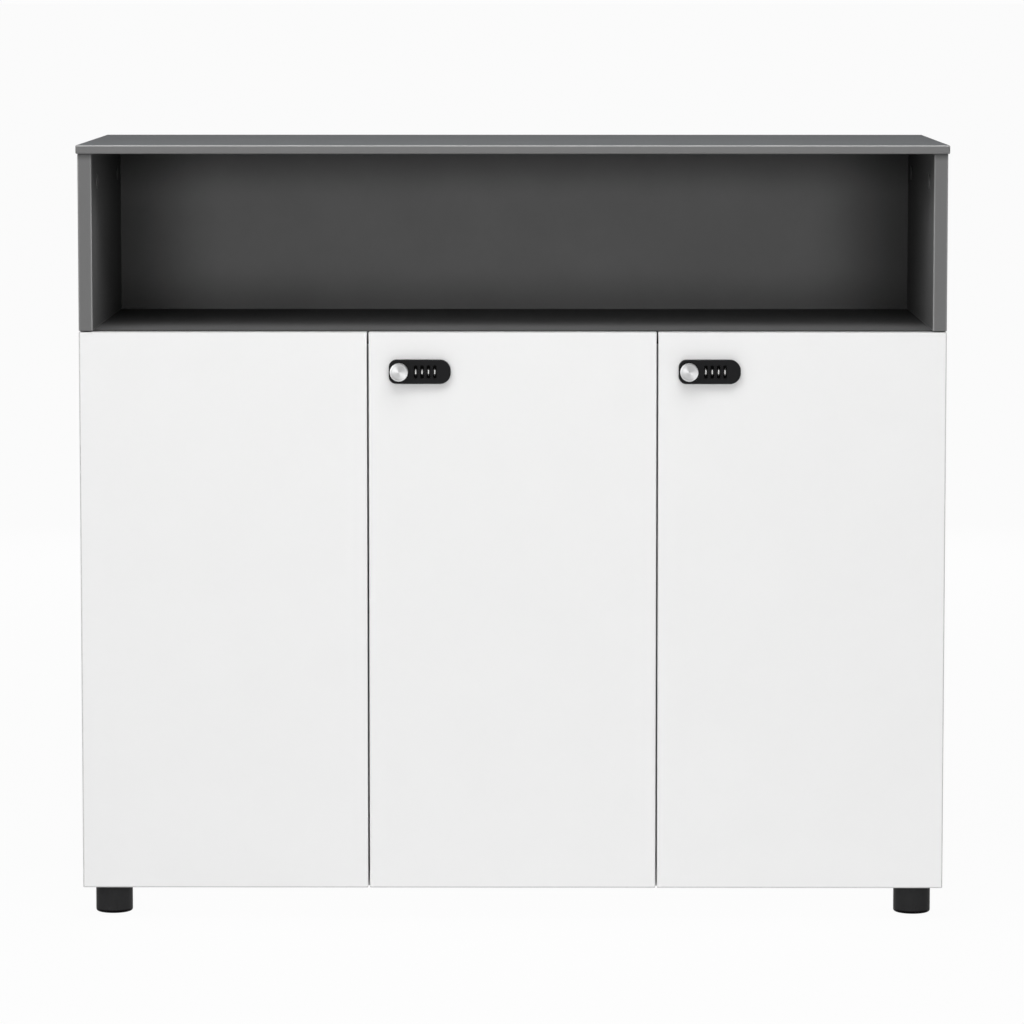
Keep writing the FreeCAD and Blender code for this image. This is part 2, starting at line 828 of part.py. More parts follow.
def lock_body(name, door):
    housing = block(f"lock_housing_{name}", housing_span(door, "housing_wall"), ("front", "door_back"),
                    about("lock_level", "2 * housing_half"))
    boss = rod(f"lock_boss_{name}", "y", (knob_middle(door), "lock_level"), ("front", "boss_end"),
               "boss_radius")
    tools = [rod(f"spindle_bore_{name}", "y", (knob_middle(door), "lock_level"),
                 ("lock_face - overrun", "boss_end + overrun"), "spindle_radius + lock_play")]
    tools.append(rod(f"axle_bore_{name}", "x", ("dial_line", "lock_level"), housing_span(door, "axle_hold"),
                     "axle_radius"))
    for index in range(DIALS):
        tag = f"{name}_{index}"
        middle = dial_middle(door, index)
        slot_wide = about(middle, "2 * pocket_half")
        slot_deep = ("lock_face - overrun", "dial_line")
        tools.append(rod(f"dial_pocket_{tag}", "x", ("dial_line", "lock_level"), slot_wide,
                         "dial_radius + dial_play"))
        tools.append(block(f"dial_slot_{tag}", slot_wide, slot_deep,
                           about("lock_level", "dial_window - 2 * pocket_half")))
        tools += [rod(f"dial_slot_end_{tag}_{half}", "y",
                      (middle, f"lock_level + {sign} * (dial_window / 2 - pocket_half)"), slot_deep,
                      "pocket_half")
                  for half, sign in HALVES.items()]
    return cut(f"lock_body_{name}", join(f"lock_blank_{name}", [lock_plate(name, door), housing, boss]),
               tools)


def lock_nut(name, door):
    middle = (knob_middle(door), "lock_level")
    blank = hexagon(f"lock_nut_blank_{name}", "y", middle, ("door_back", "door_back + lock_nut_thickness"),
                    "lock_nut_radius")
    bore = rod(f"lock_nut_bore_{name}", "y", middle, ("door_back - overrun", "boss_end"),
               "boss_radius + lock_play")
    return cut(f"lock_nut_{name}", blank, [bore])


def dial(name, door, index):
    tag = f"{name}_{index + 1}"
    middle = dial_middle(door, index)
    blank = rod(f"dial_blank_{tag}", "x", ("dial_line", "lock_level"), about(middle, "dial_thickness"),
                "dial_radius")
    bore = rod(f"dial_bore_{tag}", "x", ("dial_line", "lock_level"),
               about(middle, "dial_thickness + 2 * overrun"),
               "axle_radius + axle_play")
    return cut(f"dial_{tag}", blank, [bore])


def lock_knob(name, door):
    """Turning knob with the spindle that carries the latch."""
    body = doc.addObject("PartDesign::Body", f"knob_head_{name}")
    sketch = plane_sketch(body, "XZ_Plane", f"knob_head_{name}_sketch")
    circle(sketch, "knob_radius")
    pad(body, sketch, "knob_reach - knob_gap")
    front_y = body.Tip.Shape.BoundBox.YMin
    soften(body, "Chamfer", "Size", "knob_chamfer", lambda edge: edge.BoundBox.YMax < front_y / 2)
    middle = (knob_middle(door), "lock_level")
    place(body, (middle[0], "lock_face - knob_gap", middle[1]))
    spindle = rod(f"knob_spindle_{name}", "y", middle, ("lock_face - knob_gap", "latch_rear"),
                  "spindle_radius")
    tip = rod(f"knob_tip_{name}", "y", middle, ("latch_rear", "latch_rear + latch_nut_thickness + overrun"),
              "spindle_tip_radius")
    return join(f"lock_knob_{name}", [body, spindle, tip])


def lock_latch(name, door):
    """Latch that points at the door's free edge, and the nut that holds it."""
    middle = (knob_middle(door), "lock_level")
    span = ("latch_front", "latch_rear")
    reach = f"{middle[0]} - latch_length + latch_width / 2"
    hub = rod(f"latch_hub_{name}", "y", middle, span, "latch_hub_radius")
    bar = block(f"latch_bar_{name}", (reach, middle[0]), span, about("lock_level", "latch_width"))
    tip = rod(f"latch_tip_{name}", "y", (reach, "lock_level"), span, "latch_width / 2")
    bore = rod(f"latch_bore_{name}", "y", middle, ("latch_front - overrun", "latch_rear + overrun"),
               "spindle_radius + fitting_play")
    latch = cut(f"latch_body_{name}", join(f"latch_blank_{name}", [hub, bar, tip]), [bore])
    nut = hexagon(f"latch_nut_blank_{name}", "y", middle,
                  ("latch_rear", "latch_rear + latch_nut_thickness"),
                  "latch_nut_radius")
    nut_bore = rod(f"latch_nut_bore_{name}", "y", middle,
                   ("boss_end", "latch_rear + latch_nut_thickness + overrun"),
                   "spindle_tip_radius + fitting_play")
    return group(f"lock_latch_{name}", [latch, cut(f"latch_nut_{name}", nut, [nut_bore])])


LOCKED = {name: door for name, door in DOORS.items() if door["locked"]}

# Strikes: the latches and the slide bolt rise behind their lips

STRIKES = {"left": "slide_middle", **{name: knob_middle(door) for name, door in LOCKED.items()}}


def strike_screw_places():
    """X and Y of the two screws of each strike plate."""
    return {(name, half): (f"{middle} + {sign} * strike_screw_pitch / 2", "strike_front + strike_depth / 2")
            for name, middle in STRIKES.items() for half, sign in HALVES.items()}


def strike_plate(name, middle):
    """Bent plate under the niche floor, with a lip that hangs down behind the door."""
    wide = about(middle, "strike_width")
    leaf = block(f"strike_leaf_{name}", wide, ("strike_front", "strike_front + strike_depth"),
                 ("floor_under - strike_thickness", "floor_under"))
    lip = block(f"strike_lip_{name}", wide, ("strike_front", "strike_rear"),
                ("floor_under - strike_drop", "floor_under"))
    holes = [screw_bore(f"strike_hole_{name}_{half}", "z", place_xy, "floor_under - strike_thickness", 1,
                        "strike_thickness + overrun")
             for (owner, half), place_xy in strike_screw_places().items() if owner == name]
    return cut(f"strike_plate_{name}", join(f"strike_blank_{name}", [leaf, lip]), holes)


def strike_screws():
    return [screw(f"strike_screw_{name}_{half}", "z", middle, "floor_under - strike_thickness", 1,
                  "strike_thickness + screw_depth") for (name, half),
            middle in strike_screw_places().items()]


def strike_seats():
    return [screw_bore(f"strike_seat_{name}_{half}", "z", middle, "floor_under", 1, "screw_depth")
            for (name, half), middle in strike_screw_places().items()]


# Slide bolt inside the left door

SLIDE_MIDDLE = ("slide_middle", "slide_line")


def slide_screw_places():
    return [(f"slide_middle + {across} * slide_plate_screw_width / 2",
             f"(slide_low + slide_high) / 2 + {up} * slide_plate_screw_height / 2")
            for across in (-1, 1) for up in (-1, 1)]


def slide_base():
    plate_back = "door_back + slide_plate_thickness"
    plate = block("slide_plate", about("slide_middle", "slide_plate_width"), ("door_back", plate_back),
                  ("slide_low", "slide_high"))
    guide_y = (plate_back, "slide_line + slide_radius + slide_guide_wall")
    guide_x = about("slide_middle", "slide_guide_width")
    low = block("slide_guide_low", guide_x, guide_y, ("slide_low", "slide_low + slide_guide_height"))
    high = block("slide_guide_high", guide_x, guide_y, ("slide_high - slide_guide_height", "slide_high"))
    bore = rod("slide_bore", "z", SLIDE_MIDDLE, ("slide_low - overrun", "slide_high + overrun"),
               "slide_radius + slide_play")
    holes = [screw_bore(f"slide_hole_{index}", "y", middle, plate_back, -1,
                        "slide_plate_thickness + overrun")
             for index, middle in enumerate(slide_screw_places())]
    return cut("slide_base_cut", join("slide_blank", [plate, low, high]), [bore] + holes)


def slide_rod():
    bar = rod("slide_bar", "z", SLIDE_MIDDLE, ("slide_low - slide_end", "slide_high + slide_end"),
              "slide_radius")
    knob_z = "slide_low + slide_guide_height + slide_knob_level"
    knob = rod("slide_knob", "y", ("slide_middle", knob_z), ("slide_line", "slide_line + slide_knob_reach"),
               "slide_knob_radius")
    return join("slide_rod_whole", [bar, knob])


# Carcass boards

BODY = ("-half_body", "half_body")
DEPTH = ("carcass_front", "rear")
GROOVE_Y = ("back_front - groove_play", "back_rear + groove_play")
GROOVE_X = ("-inner_half - groove_depth", "inner_half + groove_depth")


def long_screw_places():
    return {(name, row): (signed(sign, "side_middle"), row)
            for name, sign in SIDES.items() for row in ("long_screw_front", "long_screw_rear")}


def long_screw_tools(kind, play):
    """Countersunk screws up through the niche floor into the niche sides, or their holes."""
    solids = []
    for (name, row), middle in long_screw_places().items():
        shank = rod(f"{kind}_shank_{name}_{row}", "z", middle,
                    ("floor_under", f"niche_level + long_screw_depth + {play}"),
                    f"long_screw_radius + {play}")
        head = rod(f"{kind}_head_{name}_{row}", "z", middle,
                   ("floor_under", f"floor_under + long_screw_head_depth + {play}"),
                   f"long_screw_head_radius + {play}")
        solids.append(join(f"{kind}_{name}_{row}", [shank, head]))
    return solids


def top_panel():
    blank = panel("top_blank", about("0", "top_width"), ("front - top_overhang", "rear"),
                  ("top_under", "cabinet_height"),
                  "top_edge_radius")
    groove = block("top_groove", GROOVE_X, GROOVE_Y, ("top_under - overrun", "top_under + groove_depth"))
    return cut("top_cut", blank, [groove] + flat_bores("top", ("niche_left", "niche_right")))


def niche_side(name):
    sign = SIDES[name]
    blank = panel(f"niche_{name}_blank", mirrored(sign, "inner_half", "half_body"), ("front", "rear"),
                  ("niche_level", "top_under"), "board_edge_radius")
    groove = block(f"niche_{name}_groove",
                   mirrored(sign, "inner_half - overrun", "inner_half + groove_depth"), GROOVE_Y,
                   ("niche_level - overrun", "top_under + overrun"))
    upright = f"niche_{name}"
    dowel = rod(f"dowel_bore_{upright}_niche", "z", (UPRIGHTS[upright]["middle"], "dowel_place"),
                rise("niche", "-overrun", "dowel_depth + fitting_play"), "dowel_radius + fitting_play")
    screws = [rod(f"long_screw_bore_{name}_{row}", "z", middle,
                  ("niche_level - overrun", "niche_level + long_screw_depth + fitting_play"),
                  "long_screw_radius + fitting_play")
              for (side, row), middle in long_screw_places().items() if side == name]
    return cut(f"niche_{name}_cut", blank, [groove, dowel] + screws + upright_bores(upright))


def niche_floor():
    blank = panel("floor_blank", BODY, DEPTH, ("floor_under", "niche_level"), "board_edge_radius")
    upper = block("floor_groove_upper", GROOVE_X, GROOVE_Y,
                  ("niche_level - groove_depth", "niche_level + overrun"))
    lower = block("floor_groove_lower", GROOVE_X, GROOVE_Y,
                  ("floor_under - overrun", "floor_under + groove_depth"))
    dowel_seats = [rod(f"dowel_seat_niche_{name}", "z", (signed(sign, "side_middle"), "dowel_place"),
                       rise("niche", "-dowel_hold - fitting_play", "overrun"),
                       "dowel_radius + fitting_play")
                   for name, sign in SIDES.items()]
    tools = [upper, lower] + dowel_seats + strike_seats() + long_screw_tools("long_hole", "fitting_play")
    return cut("floor_cut", blank, tools + flat_bores("high", ("side_left", "side_right", "divider")))


def lower_side(name, door_name):
    blank = panel(f"side_{name}_blank", mirrored(SIDES[name], "inner_half", "half_body"), DEPTH,
                  ("bottom_top", "floor_under"), "board_edge_radius")
    groove = block(f"side_{name}_groove",
                   mirrored(SIDES[name], "inner_half - overrun", "inner_half + groove_depth"),
                   GROOVE_Y, ("bottom_top - overrun", "floor_under + overrun"))
    holes = upright_bores(f"side_{name}") + peg_holes(f"side_{name}") + hinge_holes([door_name])
    return cut(f"side_{name}_cut", blank, [groove] + holes)


def divider():
    blank = panel("divider_blank", ("divider_left", "divider_right"), ("carcass_front", "divider_rear"),
                  ("bottom_top", "floor_under"), "board_edge_radius")
    holes = peg_holes("divider_left") + peg_holes("divider_right") + hinge_holes(["middle"])
    return cut("divider_cut", blank, upright_bores("divider") + holes)


FOOT_PLACES = {
    "front_left": ("-foot_side", "foot_front"),
    "front_right": ("foot_side", "foot_front"),
    "rear_left": ("-foot_side", "foot_rear"),
    "rear_right": ("foot_side", "foot_rear"),
}


def bottom_panel():
    blank = panel("bottom_blank", BODY, DEPTH, ("foot_height", "bottom_top"), "board_edge_radius")
    groove = block("bottom_groove", GROOVE_X, GROOVE_Y,
                   ("bottom_top - groove_depth", "bottom_top + overrun"))
    sockets = [rod(f"insert_bore_{name}", "z", middle,
                   ("foot_height - overrun", "foot_height + insert_length"),
                   "insert_radius + fitting_play") for name, middle in FOOT_PLACES.items()]
    return cut("bottom_cut", blank, [groove] + sockets + flat_bores("low",
                                                                    ("side_left", "side_right", "divider")))


def back_panel(name, low, high):
    return block(name, about("0", "2 * (inner_half + groove_depth - groove_play)"),
                 ("back_front", "back_rear"),
                 (f"{low} - groove_depth + groove_play", f"{high} + groove_depth - groove_play"))


def shelf(name, low, high):
    return panel(name, (f"{low} + shelf_end_play", f"{high} - shelf_end_play"),
                 ("carcass_front + shelf_front_inset", "back_front - shelf_back_play"),
                 ("shelf_under", "shelf_under + board"), "board_edge_radius")


def door_panel(name, door):
    blank = panel(f"door_{name}_blank", (door["low"], door["high"]), ("front", "door_back"),
                  ("door_low", "door_high"),
                  "door_edge_radius")
    tools = [rod(f"cup_bore_{name}_{level}", "y", (spot(door, "cup_middle"), level),
                 ("door_back - cup_depth - cup_play", "door_back + overrun"), "cup_radius + cup_play")
             for level in LEVELS]
    tools += [screw_bore(f"cup_seat_{name}_{level}_{half}", "y", middle, "door_back", -1, "screw_depth")
              for (level, half), middle in cup_screw_places(door).items()]
    if door["locked"]:
        tools += lock_cutouts(name, door)
    else:
        tools += [screw_bore(f"slide_seat_{index}", "y", middle, "door_back", -1, "screw_depth")
                  for index, middle in enumerate(slide_screw_places())]
    return cut(f"door_{name}_cut", blank, tools)


def door_screws(name, door):
    screws = [screw(f"cup_screw_{name}_{level}_{half}", "y", middle, "door_back + flange_thickness", -1,
                    "flange_thickness + screw_depth") for (level, half),
              middle in cup_screw_places(door).items()]
    if not door["locked"]:
        screws += [screw(f"slide_screw_{index}", "y", middle, "door_back + slide_plate_thickness", -1,
                         "slide_plate_thickness + screw_depth") for index,
                   middle in enumerate(slide_screw_places())]
    return screws


def bumpers():
    """Soft stops on the carcass edge, near the free corners of each door."""
    free = {name: door["high"] if door["into"] > 0 else door["low"] for name, door in DOORS.items()}
    span = ("carcass_front - door_back_gap + bumper_play", "carcass_front")
    return [rod(f"bumper_{name}_{level}", "y",
                (f"{free[name]} - {door['into']} * bumper_edge", f"{level} + board / 2"), span,
                "bumper_radius") for name, door in DOORS.items()
            for level in ("foot_height", "floor_under")]


# Levelling feet

def foot(name, middle):
    """Round foot with its threaded stud moulded in."""
    body = doc.addObject("PartDesign::Body", f"foot_pad_{name}")
    sketch = plane_sketch(body, "XY_Plane", f"foot_pad_{name}_sketch")
    circle(sketch, "foot_radius")
    pad(body, sketch, "foot_height")
    soften(body, "Fillet", "Radius", "foot_edge_radius",
           lambda edge: edge.BoundBox.ZMax < sizes.foot_edge_radius)
    place(body, (middle[0], middle[1], "0"))
    stud = rod(f"foot_stud_{name}", "z", middle, ("foot_height", "foot_height + stud_reach"), "stud_radius")
    return join(f"foot_whole_{name}", [body, stud])


def foot_insert(name, middle):
    blank = rod(f"insert_blank_{name}", "z", middle, ("foot_height", "foot_height + insert_length"),
                "insert_radius")
    bore = rod(f"insert_thread_{name}", "z", middle,
               ("foot_height - overrun", "foot_height + insert_length + overrun"),
               "stud_radius + stud_play")
    return cut(f"insert_{name}", blank, [bore])


# The carcass

node(top_panel(), "top_panel")
for side_name in SIDES:
    node(niche_side(side_name), f"niche_side_{side_name}")
    node(lower_side(side_name, side_name), f"side_panel_{side_name}")
node(niche_floor(), "niche_floor")
node(divider(), "divider_panel")
node(bottom_panel(), "bottom_panel")
node(back_panel("niche_back_board", "niche_level", "top_under"), "niche_back")
node(back_panel("lower_back_board", "bottom_top", "floor_under"), "lower_back")
node(shelf("wide_board", "-inner_half", "divider_left"), "shelf_wide")
node(shelf("narrow_board", "divider_right", "inner_half"), "shelf_narrow")
node(group("all_pegs", pegs()), "shelf_pegs")
cam_parts, bolt_parts, cap_parts = cam_solids()
node(group("all_cams", cam_parts), "cam_fittings")
node(group("all_bolts", bolt_parts), "cam_bolts")
node(group("all_caps", cap_parts), "cam_caps")
node(group("all_dowels", dowels()), "wood_dowels")
node(group("all_long_screws", long_screw_tools("long_screw", "0")), "niche_screws")
node(group("all_inserts", [foot_insert(name, middle) for name, middle in FOOT_PLACES.items()]),
     "foot_inserts")
node(group("all_bumpers", bumpers()), "door_bumpers")
for foot_name, foot_middle in FOOT_PLACES.items():
    node(foot(foot_name, foot_middle), f"foot_{foot_name}")

# Hinges, on the carcass and in the doors

HUNG = [(name, door, level) for name, door in DOORS.items() for level in LEVELS]
node(group("all_plates", [hinge_plate(*hung) for hung in HUNG]), "hinge_plates")
node(group("all_arms", [hinge_arm(*hung) for hung in HUNG]), "hinge_arms")
node(group("all_hinge_screws", [one for hung in HUNG for one in hinge_screws(*hung)]), "hinge_screws")

# Doors with their hinge cups, screws and locks

for door_name, door_row in DOORS.items():
    node(door_panel(door_name, door_row), f"door_{door_name}")
    cup_parts = [make(door_name, door_row, level) for level in LEVELS for make in (hinge_cup, hinge_pin)]
    node(group(f"all_cups_{door_name}", cup_parts), f"hinge_cups_{door_name}")
    node(group(f"all_door_screws_{door_name}", door_screws(door_name, door_row)),
         f"door_screws_{door_name}")
for door_name, door_row in LOCKED.items():
    node(lock_body(door_name, door_row), f"lock_case_{door_name}")
    node(lock_nut(door_name, door_row), f"lock_ring_nut_{door_name}")
    node(rod(f"axle_{door_name}", "x", ("dial_line", "lock_level"), housing_span(door_row, "axle_hold"),
             "axle_radius"),
         f"dial_axle_{door_name}")
    for dial_index in range(DIALS):
        node(dial(door_name, door_row, dial_index), f"lock_dial_{door_name}_{dial_index + 1}")
    node(lock_knob(door_name, door_row), f"knob_{door_name}")
    node(lock_latch(door_name, door_row), f"latch_{door_name}")
node(group("all_strikes", [strike_plate(*strike) for strike in STRIKES.items()]), "strike_plates")
node(group("all_strike_screws", strike_screws()), "strike_screws")
node(slide_base(), "slide_bolt_base")
node(slide_rod(), "slide_bolt_rod")

# Build, test and write

doc.recompute()
for thing in doc.Objects:
    if {"Invalid", "Error"} & set(thing.State):
        raise RuntimeError(f"{thing.Label} failed: {thing.State}")
for thing in NODES:
    if thing.Shape.isNull() or not thing.Shape.isValid() or not thing.Shape.Solids:
        raise RuntimeError(f"{thing.Label} has no sound solid")
os.makedirs("parts", exist_ok=True)
for thing in NODES:
    thing.Shape.exportStep(f"parts/{thing.Label}.step")
    print(f"{thing.Label}: {len(thing.Shape.Solids)} solids, {thing.Shape.Volume / 1000:.1f} cm3")
print(f"{len(NODES)} nodes, {sum(len(thing.Shape.Solids) for thing in NODES)} solids")
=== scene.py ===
# %% [markdown]
# # Office storage cabinet
#
# A low office cabinet: a graphite grey niche under a thin top, three white doors below it, two of them
# with a four dial combination lock, and four round black feet. The boards, fittings and joints were drawn
# as exact solids before, and they arrive here as a fixed frame. Blender's part is the look: finishes for
# every board and fitting, and finer shapes where a plain solid is too bare, such as the number wheels and
# the turned knobs.
#
# The frame comes first, because every later piece takes its place from it. Lengths are in metres.

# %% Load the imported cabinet
import math

import bmesh
import bpy
from mathutils import Matrix, Vector


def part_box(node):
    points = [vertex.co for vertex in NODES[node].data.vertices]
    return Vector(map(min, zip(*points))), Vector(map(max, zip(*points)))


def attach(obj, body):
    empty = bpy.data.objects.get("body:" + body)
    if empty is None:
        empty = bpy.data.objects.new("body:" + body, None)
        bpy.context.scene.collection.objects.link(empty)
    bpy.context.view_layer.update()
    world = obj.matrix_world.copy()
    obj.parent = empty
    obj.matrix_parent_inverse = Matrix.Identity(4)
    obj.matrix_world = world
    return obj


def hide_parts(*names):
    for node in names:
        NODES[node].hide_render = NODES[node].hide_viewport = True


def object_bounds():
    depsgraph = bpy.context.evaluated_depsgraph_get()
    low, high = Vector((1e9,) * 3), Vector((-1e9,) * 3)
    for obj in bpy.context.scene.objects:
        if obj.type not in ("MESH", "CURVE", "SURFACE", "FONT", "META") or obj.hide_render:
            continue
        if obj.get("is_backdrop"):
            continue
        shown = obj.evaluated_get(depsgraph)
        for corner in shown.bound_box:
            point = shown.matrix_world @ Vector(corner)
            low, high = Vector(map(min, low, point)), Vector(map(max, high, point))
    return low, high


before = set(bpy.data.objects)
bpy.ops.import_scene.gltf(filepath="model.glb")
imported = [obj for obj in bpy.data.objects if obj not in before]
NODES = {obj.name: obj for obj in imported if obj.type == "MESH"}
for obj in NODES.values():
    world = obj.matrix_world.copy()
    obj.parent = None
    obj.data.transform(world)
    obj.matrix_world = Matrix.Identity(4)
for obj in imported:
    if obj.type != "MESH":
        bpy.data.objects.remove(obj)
CAD_LOW, CAD_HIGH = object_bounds()
MM = 0.001
CAD_SIZE = CAD_HIGH - CAD_LOW
print(f"{len(NODES)} nodes, {CAD_SIZE.x / MM:.0f} mm wide, {CAD_SIZE.z / MM:.0f} mm high")

# %% [markdown]
# ## The camera
#
# The picture to match was taken from far away with a long lens, a little above the top of the cabinet:
# the top board shows as a thin strip, and the inner sides of the niche close in only slightly. A lens of
# about 167 mm at five and a half metres gives that flat perspective. A shifted lens could keep the
# uprights parallel, as an architect's camera does, but so large a shift would push the cabinet out of the
# frame in other views. Most of the height is therefore taken by tilting the camera down, and the shift
# stays small.

# %% Camera at the viewing angle of the photograph
LENS = 167.3
SENSOR = 36
SHIFT = -0.08
CAMERA_PLACE = Vector((0.029, -5.636, 1.0754))
TILT_DOWN = math.radians(5.271)
TURN_LEFT = math.radians(0.312)
QUARTER_TURN = math.radians(90)

camera_data = bpy.data.cameras.new("camera")
camera_data.lens = LENS
camera_data.sensor_width = SENSOR
camera_data.shift_y = SHIFT
camera = bpy.data.objects.new("camera", camera_data)
camera.location = CAMERA_PLACE
camera.rotation_euler = (QUARTER_TURN - TILT_DOWN, 0, TURN_LEFT)
bpy.context.collection.objects.link(camera)
bpy.context.scene.camera = camera
print(f"camera {-CAMERA_PLACE.y:.2f} m in front, {CAMERA_PLACE.z:.2f} m high")

# %% [markdown]
# ## Small helpers for finishes
#
# A colour is easiest to read as the hex value that a colour picker shows, but shaders add up light in
# linear values, so one function converts it. Another adds a node, sets its options and links its inputs.
# A constant is written straight on its socket, and a socket from another node is linked. A third starts a
# new finish, and a fourth gives a finish to nodes of the frame.

# %% Colour, node and finish helpers
def linear(hex_colour):
    """Linear red, green, blue and full alpha of an sRGB hex colour."""
    parts = [int(hex_colour[at:at + 2], 16) / 255 for at in (1, 3, 5)]
    return [part / 12.92 if part <= 0.04045 else ((part + 0.055) / 1.055) ** 2.4 for part in parts] + [1.0]


def add(tree, kind, inputs=None, **settings):
    """Adds one node with its settings; an input is a constant or another node's socket."""
    made = tree.nodes.new(kind)
    for name, value in settings.items():
        setattr(made, name, value)
    for name, value in (inputs or {}).items():
        if isinstance(value, bpy.types.NodeSocket):
            tree.links.new(value, made.inputs[name])
        else:
            made.inputs[name].default_value = value
    return made


def new_finish(name, roughness, **constants):
    """A new material, its node tree, its shader and the object coordinates its patterns read."""
    finish = bpy.data.materials.new(name)
    finish.use_nodes = True
    tree = finish.node_tree
    shader = tree.nodes["Principled BSDF"]
    shader.inputs["Roughness"].default_value = roughness
    for socket, value in constants.items():
        shader.inputs[socket.replace("_", " ")].default_value = value
    place = add(tree, "ShaderNodeTexCoord").outputs["Object"]
    return finish, tree, shader, place


def dress(finish, names):
    """Gives nodes of the frame their finish."""
    for name in names:
        NODES[name].material_slots[0].material = finish


print("sample grey", [round(part, 3) for part in linear("#6a6b6d")[:3]])

# %% [markdown]
# ## The studio
#
# The photograph has an even white ground with no horizon and no shadow to speak of. The light is soft: a
# dim sky from all round, two broad softboxes left and right of the camera that reach to the back of the
# niche and leave its corners dark, one above the front that brightens the front of the niche floor, a
# smaller one on the left that gives the feet their shape, and one behind for the back.
#
# The world is the sky, with a white band along the horizon. The floor is a sheet of white paper that
# glows, so that it meets that band without a line, and takes only a trace of shadow. It lights nothing:
# the light from below comes from a second sheet just under it, which no view sees, and which is dimmer in
# front.
#
# The softboxes stay invisible themselves, so no other view shows them as boards. Nor do they mirror in
# the lock and the knobs: a photographer screens them off, and holds up a white card at the upper left for
# the metal to mirror. The card lights nothing else.

# %% World light
SKY = 0.3
HORIZON_WHITE = 0.98
HORIZON_FROM, HORIZON_TO = 0.03, 0.11
WHITE = (1, 1, 1, 1)

bpy.context.scene.view_settings.view_transform = "Standard"
world = bpy.data.worlds.new("studio")
bpy.context.scene.world = world
world.use_nodes = True
sky = world.node_tree
backdrop = sky.nodes["Background"]
backdrop.inputs["Color"].default_value = WHITE
direction = add(sky, "ShaderNodeSeparateXYZ", {0: add(sky, "ShaderNodeTexCoord").outputs["Generated"]})
horizon = add(sky, "ShaderNodeMapRange",
              {0: direction.outputs["Z"], 1: HORIZON_FROM, 2: HORIZON_TO, 3: HORIZON_WHITE, 4: SKY})
sky.links.new(horizon.outputs[0], backdrop.inputs["Strength"])
print(f"sky {SKY}, horizon {HORIZON_WHITE}")

# %% Floor
FLOOR_HALF = 400
PAPER_WHITE = 0.955
PAPER_GREY = (0.03, 0.03, 0.03, 1)
GLOW_BELOW = 2 * MM
GLOW_DIM = 0.3
GLOW_DIM_AT, GLOW_FULL_AT = -2.6, -0.85


def to_piece(form, name, *finishes):
    """An object at the origin made from a bmesh, with its finishes."""
    mesh = bpy.data.meshes.new(name)
    form.to_mesh(mesh)
    form.free()
    for finish in finishes:
        mesh.materials.append(finish)
    piece = bpy.data.objects.new(name, mesh)
    bpy.context.collection.objects.link(piece)
    return piece


def stage_sheet(name, level):
    """A wide flat sheet of glowing paper, its node tree, its shader and its object coordinates."""
    paper, tree, shader, place = new_finish(
        f"{name}_paper", 1.0, Specular_IOR_Level=0.0, Base_Color=PAPER_GREY, Emission_Color=WHITE,
        Emission_Strength=PAPER_WHITE)
    form = bmesh.new()
    bmesh.ops.create_grid(form, x_segments=1, y_segments=1, size=FLOOR_HALF)
    bmesh.ops.translate(form, verts=form.verts[:], vec=(0, 0, level))
    sheet = to_piece(form, name, paper)
    sheet.visible_glossy = False
    sheet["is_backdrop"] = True
    return sheet, tree, shader, place


floor = stage_sheet("floor", 0.0)[0]
floor.visible_diffuse = False
glow, tree, shader, place = stage_sheet("glow", -GLOW_BELOW)
glow.visible_camera = False
glow_depth = add(tree, "ShaderNodeSeparateXYZ", {0: place}).outputs["Y"]
fade = add(tree, "ShaderNodeMapRange",
           {0: glow_depth, 1: GLOW_DIM_AT, 2: GLOW_FULL_AT, 3: GLOW_DIM, 4: PAPER_WHITE},
           interpolation_type="SMOOTHSTEP")
tree.links.new(fade.outputs[0], shader.inputs["Emission Strength"])
print(f"floor {2 * FLOOR_HALF} m wide")

# %% Softboxes
SOFTBOXES = {
    "front_left": {"size": (1.0, 1.4), "watts": 24.4, "place": (-0.8, -4.0, 0.8), "aim": (0.0, 0.0, 0.75)},
    "front_right": {"size": (1.0, 1.4), "watts": 24.2, "place": (0.8, -4.0, 0.8), "aim": (0.0, 0.0, 0.75)},
    "above": {"size": (2.4, 1.2), "watts": 37, "place": (0.0, -1.5, 2.5), "aim": (0.0, -0.2, 0.75)},
    "left": {"size": (0.7, 0.9), "watts": 15, "place": (-2.5, -2.9, 2.3), "aim": (0.0, -0.2, 0.5)},
    "rear": {"size": (1.6, 1.2), "watts": 30, "place": (0.0, 3.8, 1.0), "aim": (0.0, 0.2, 0.5)},
    "card": {"size": (2.8, 2.8), "watts": 62, "place": (-2.2, -2.8, 2.0), "aim": (-0.1, -0.2, 0.6)},
}
for name, box in SOFTBOXES.items():
    lamp = bpy.data.lights.new(f"softbox_{name}", "AREA")
    lamp.shape = "RECTANGLE"
    lamp.size, lamp.size_y = box["size"]
    lamp.energy = box["watts"]
    softbox = bpy.data.objects.new(f"softbox_{name}", lamp)
    softbox.location = box["place"]
    towards = Vector(box["aim"]) - Vector(box["place"])
    softbox.rotation_euler = towards.to_track_quat("-Z", "Y").to_euler()
    softbox.visible_camera = False
    softbox.visible_glossy = name == "card"
    softbox.visible_diffuse = name != "card"
    bpy.context.collection.objects.link(softbox)
    print(f"{name}, {box['watts']} W")

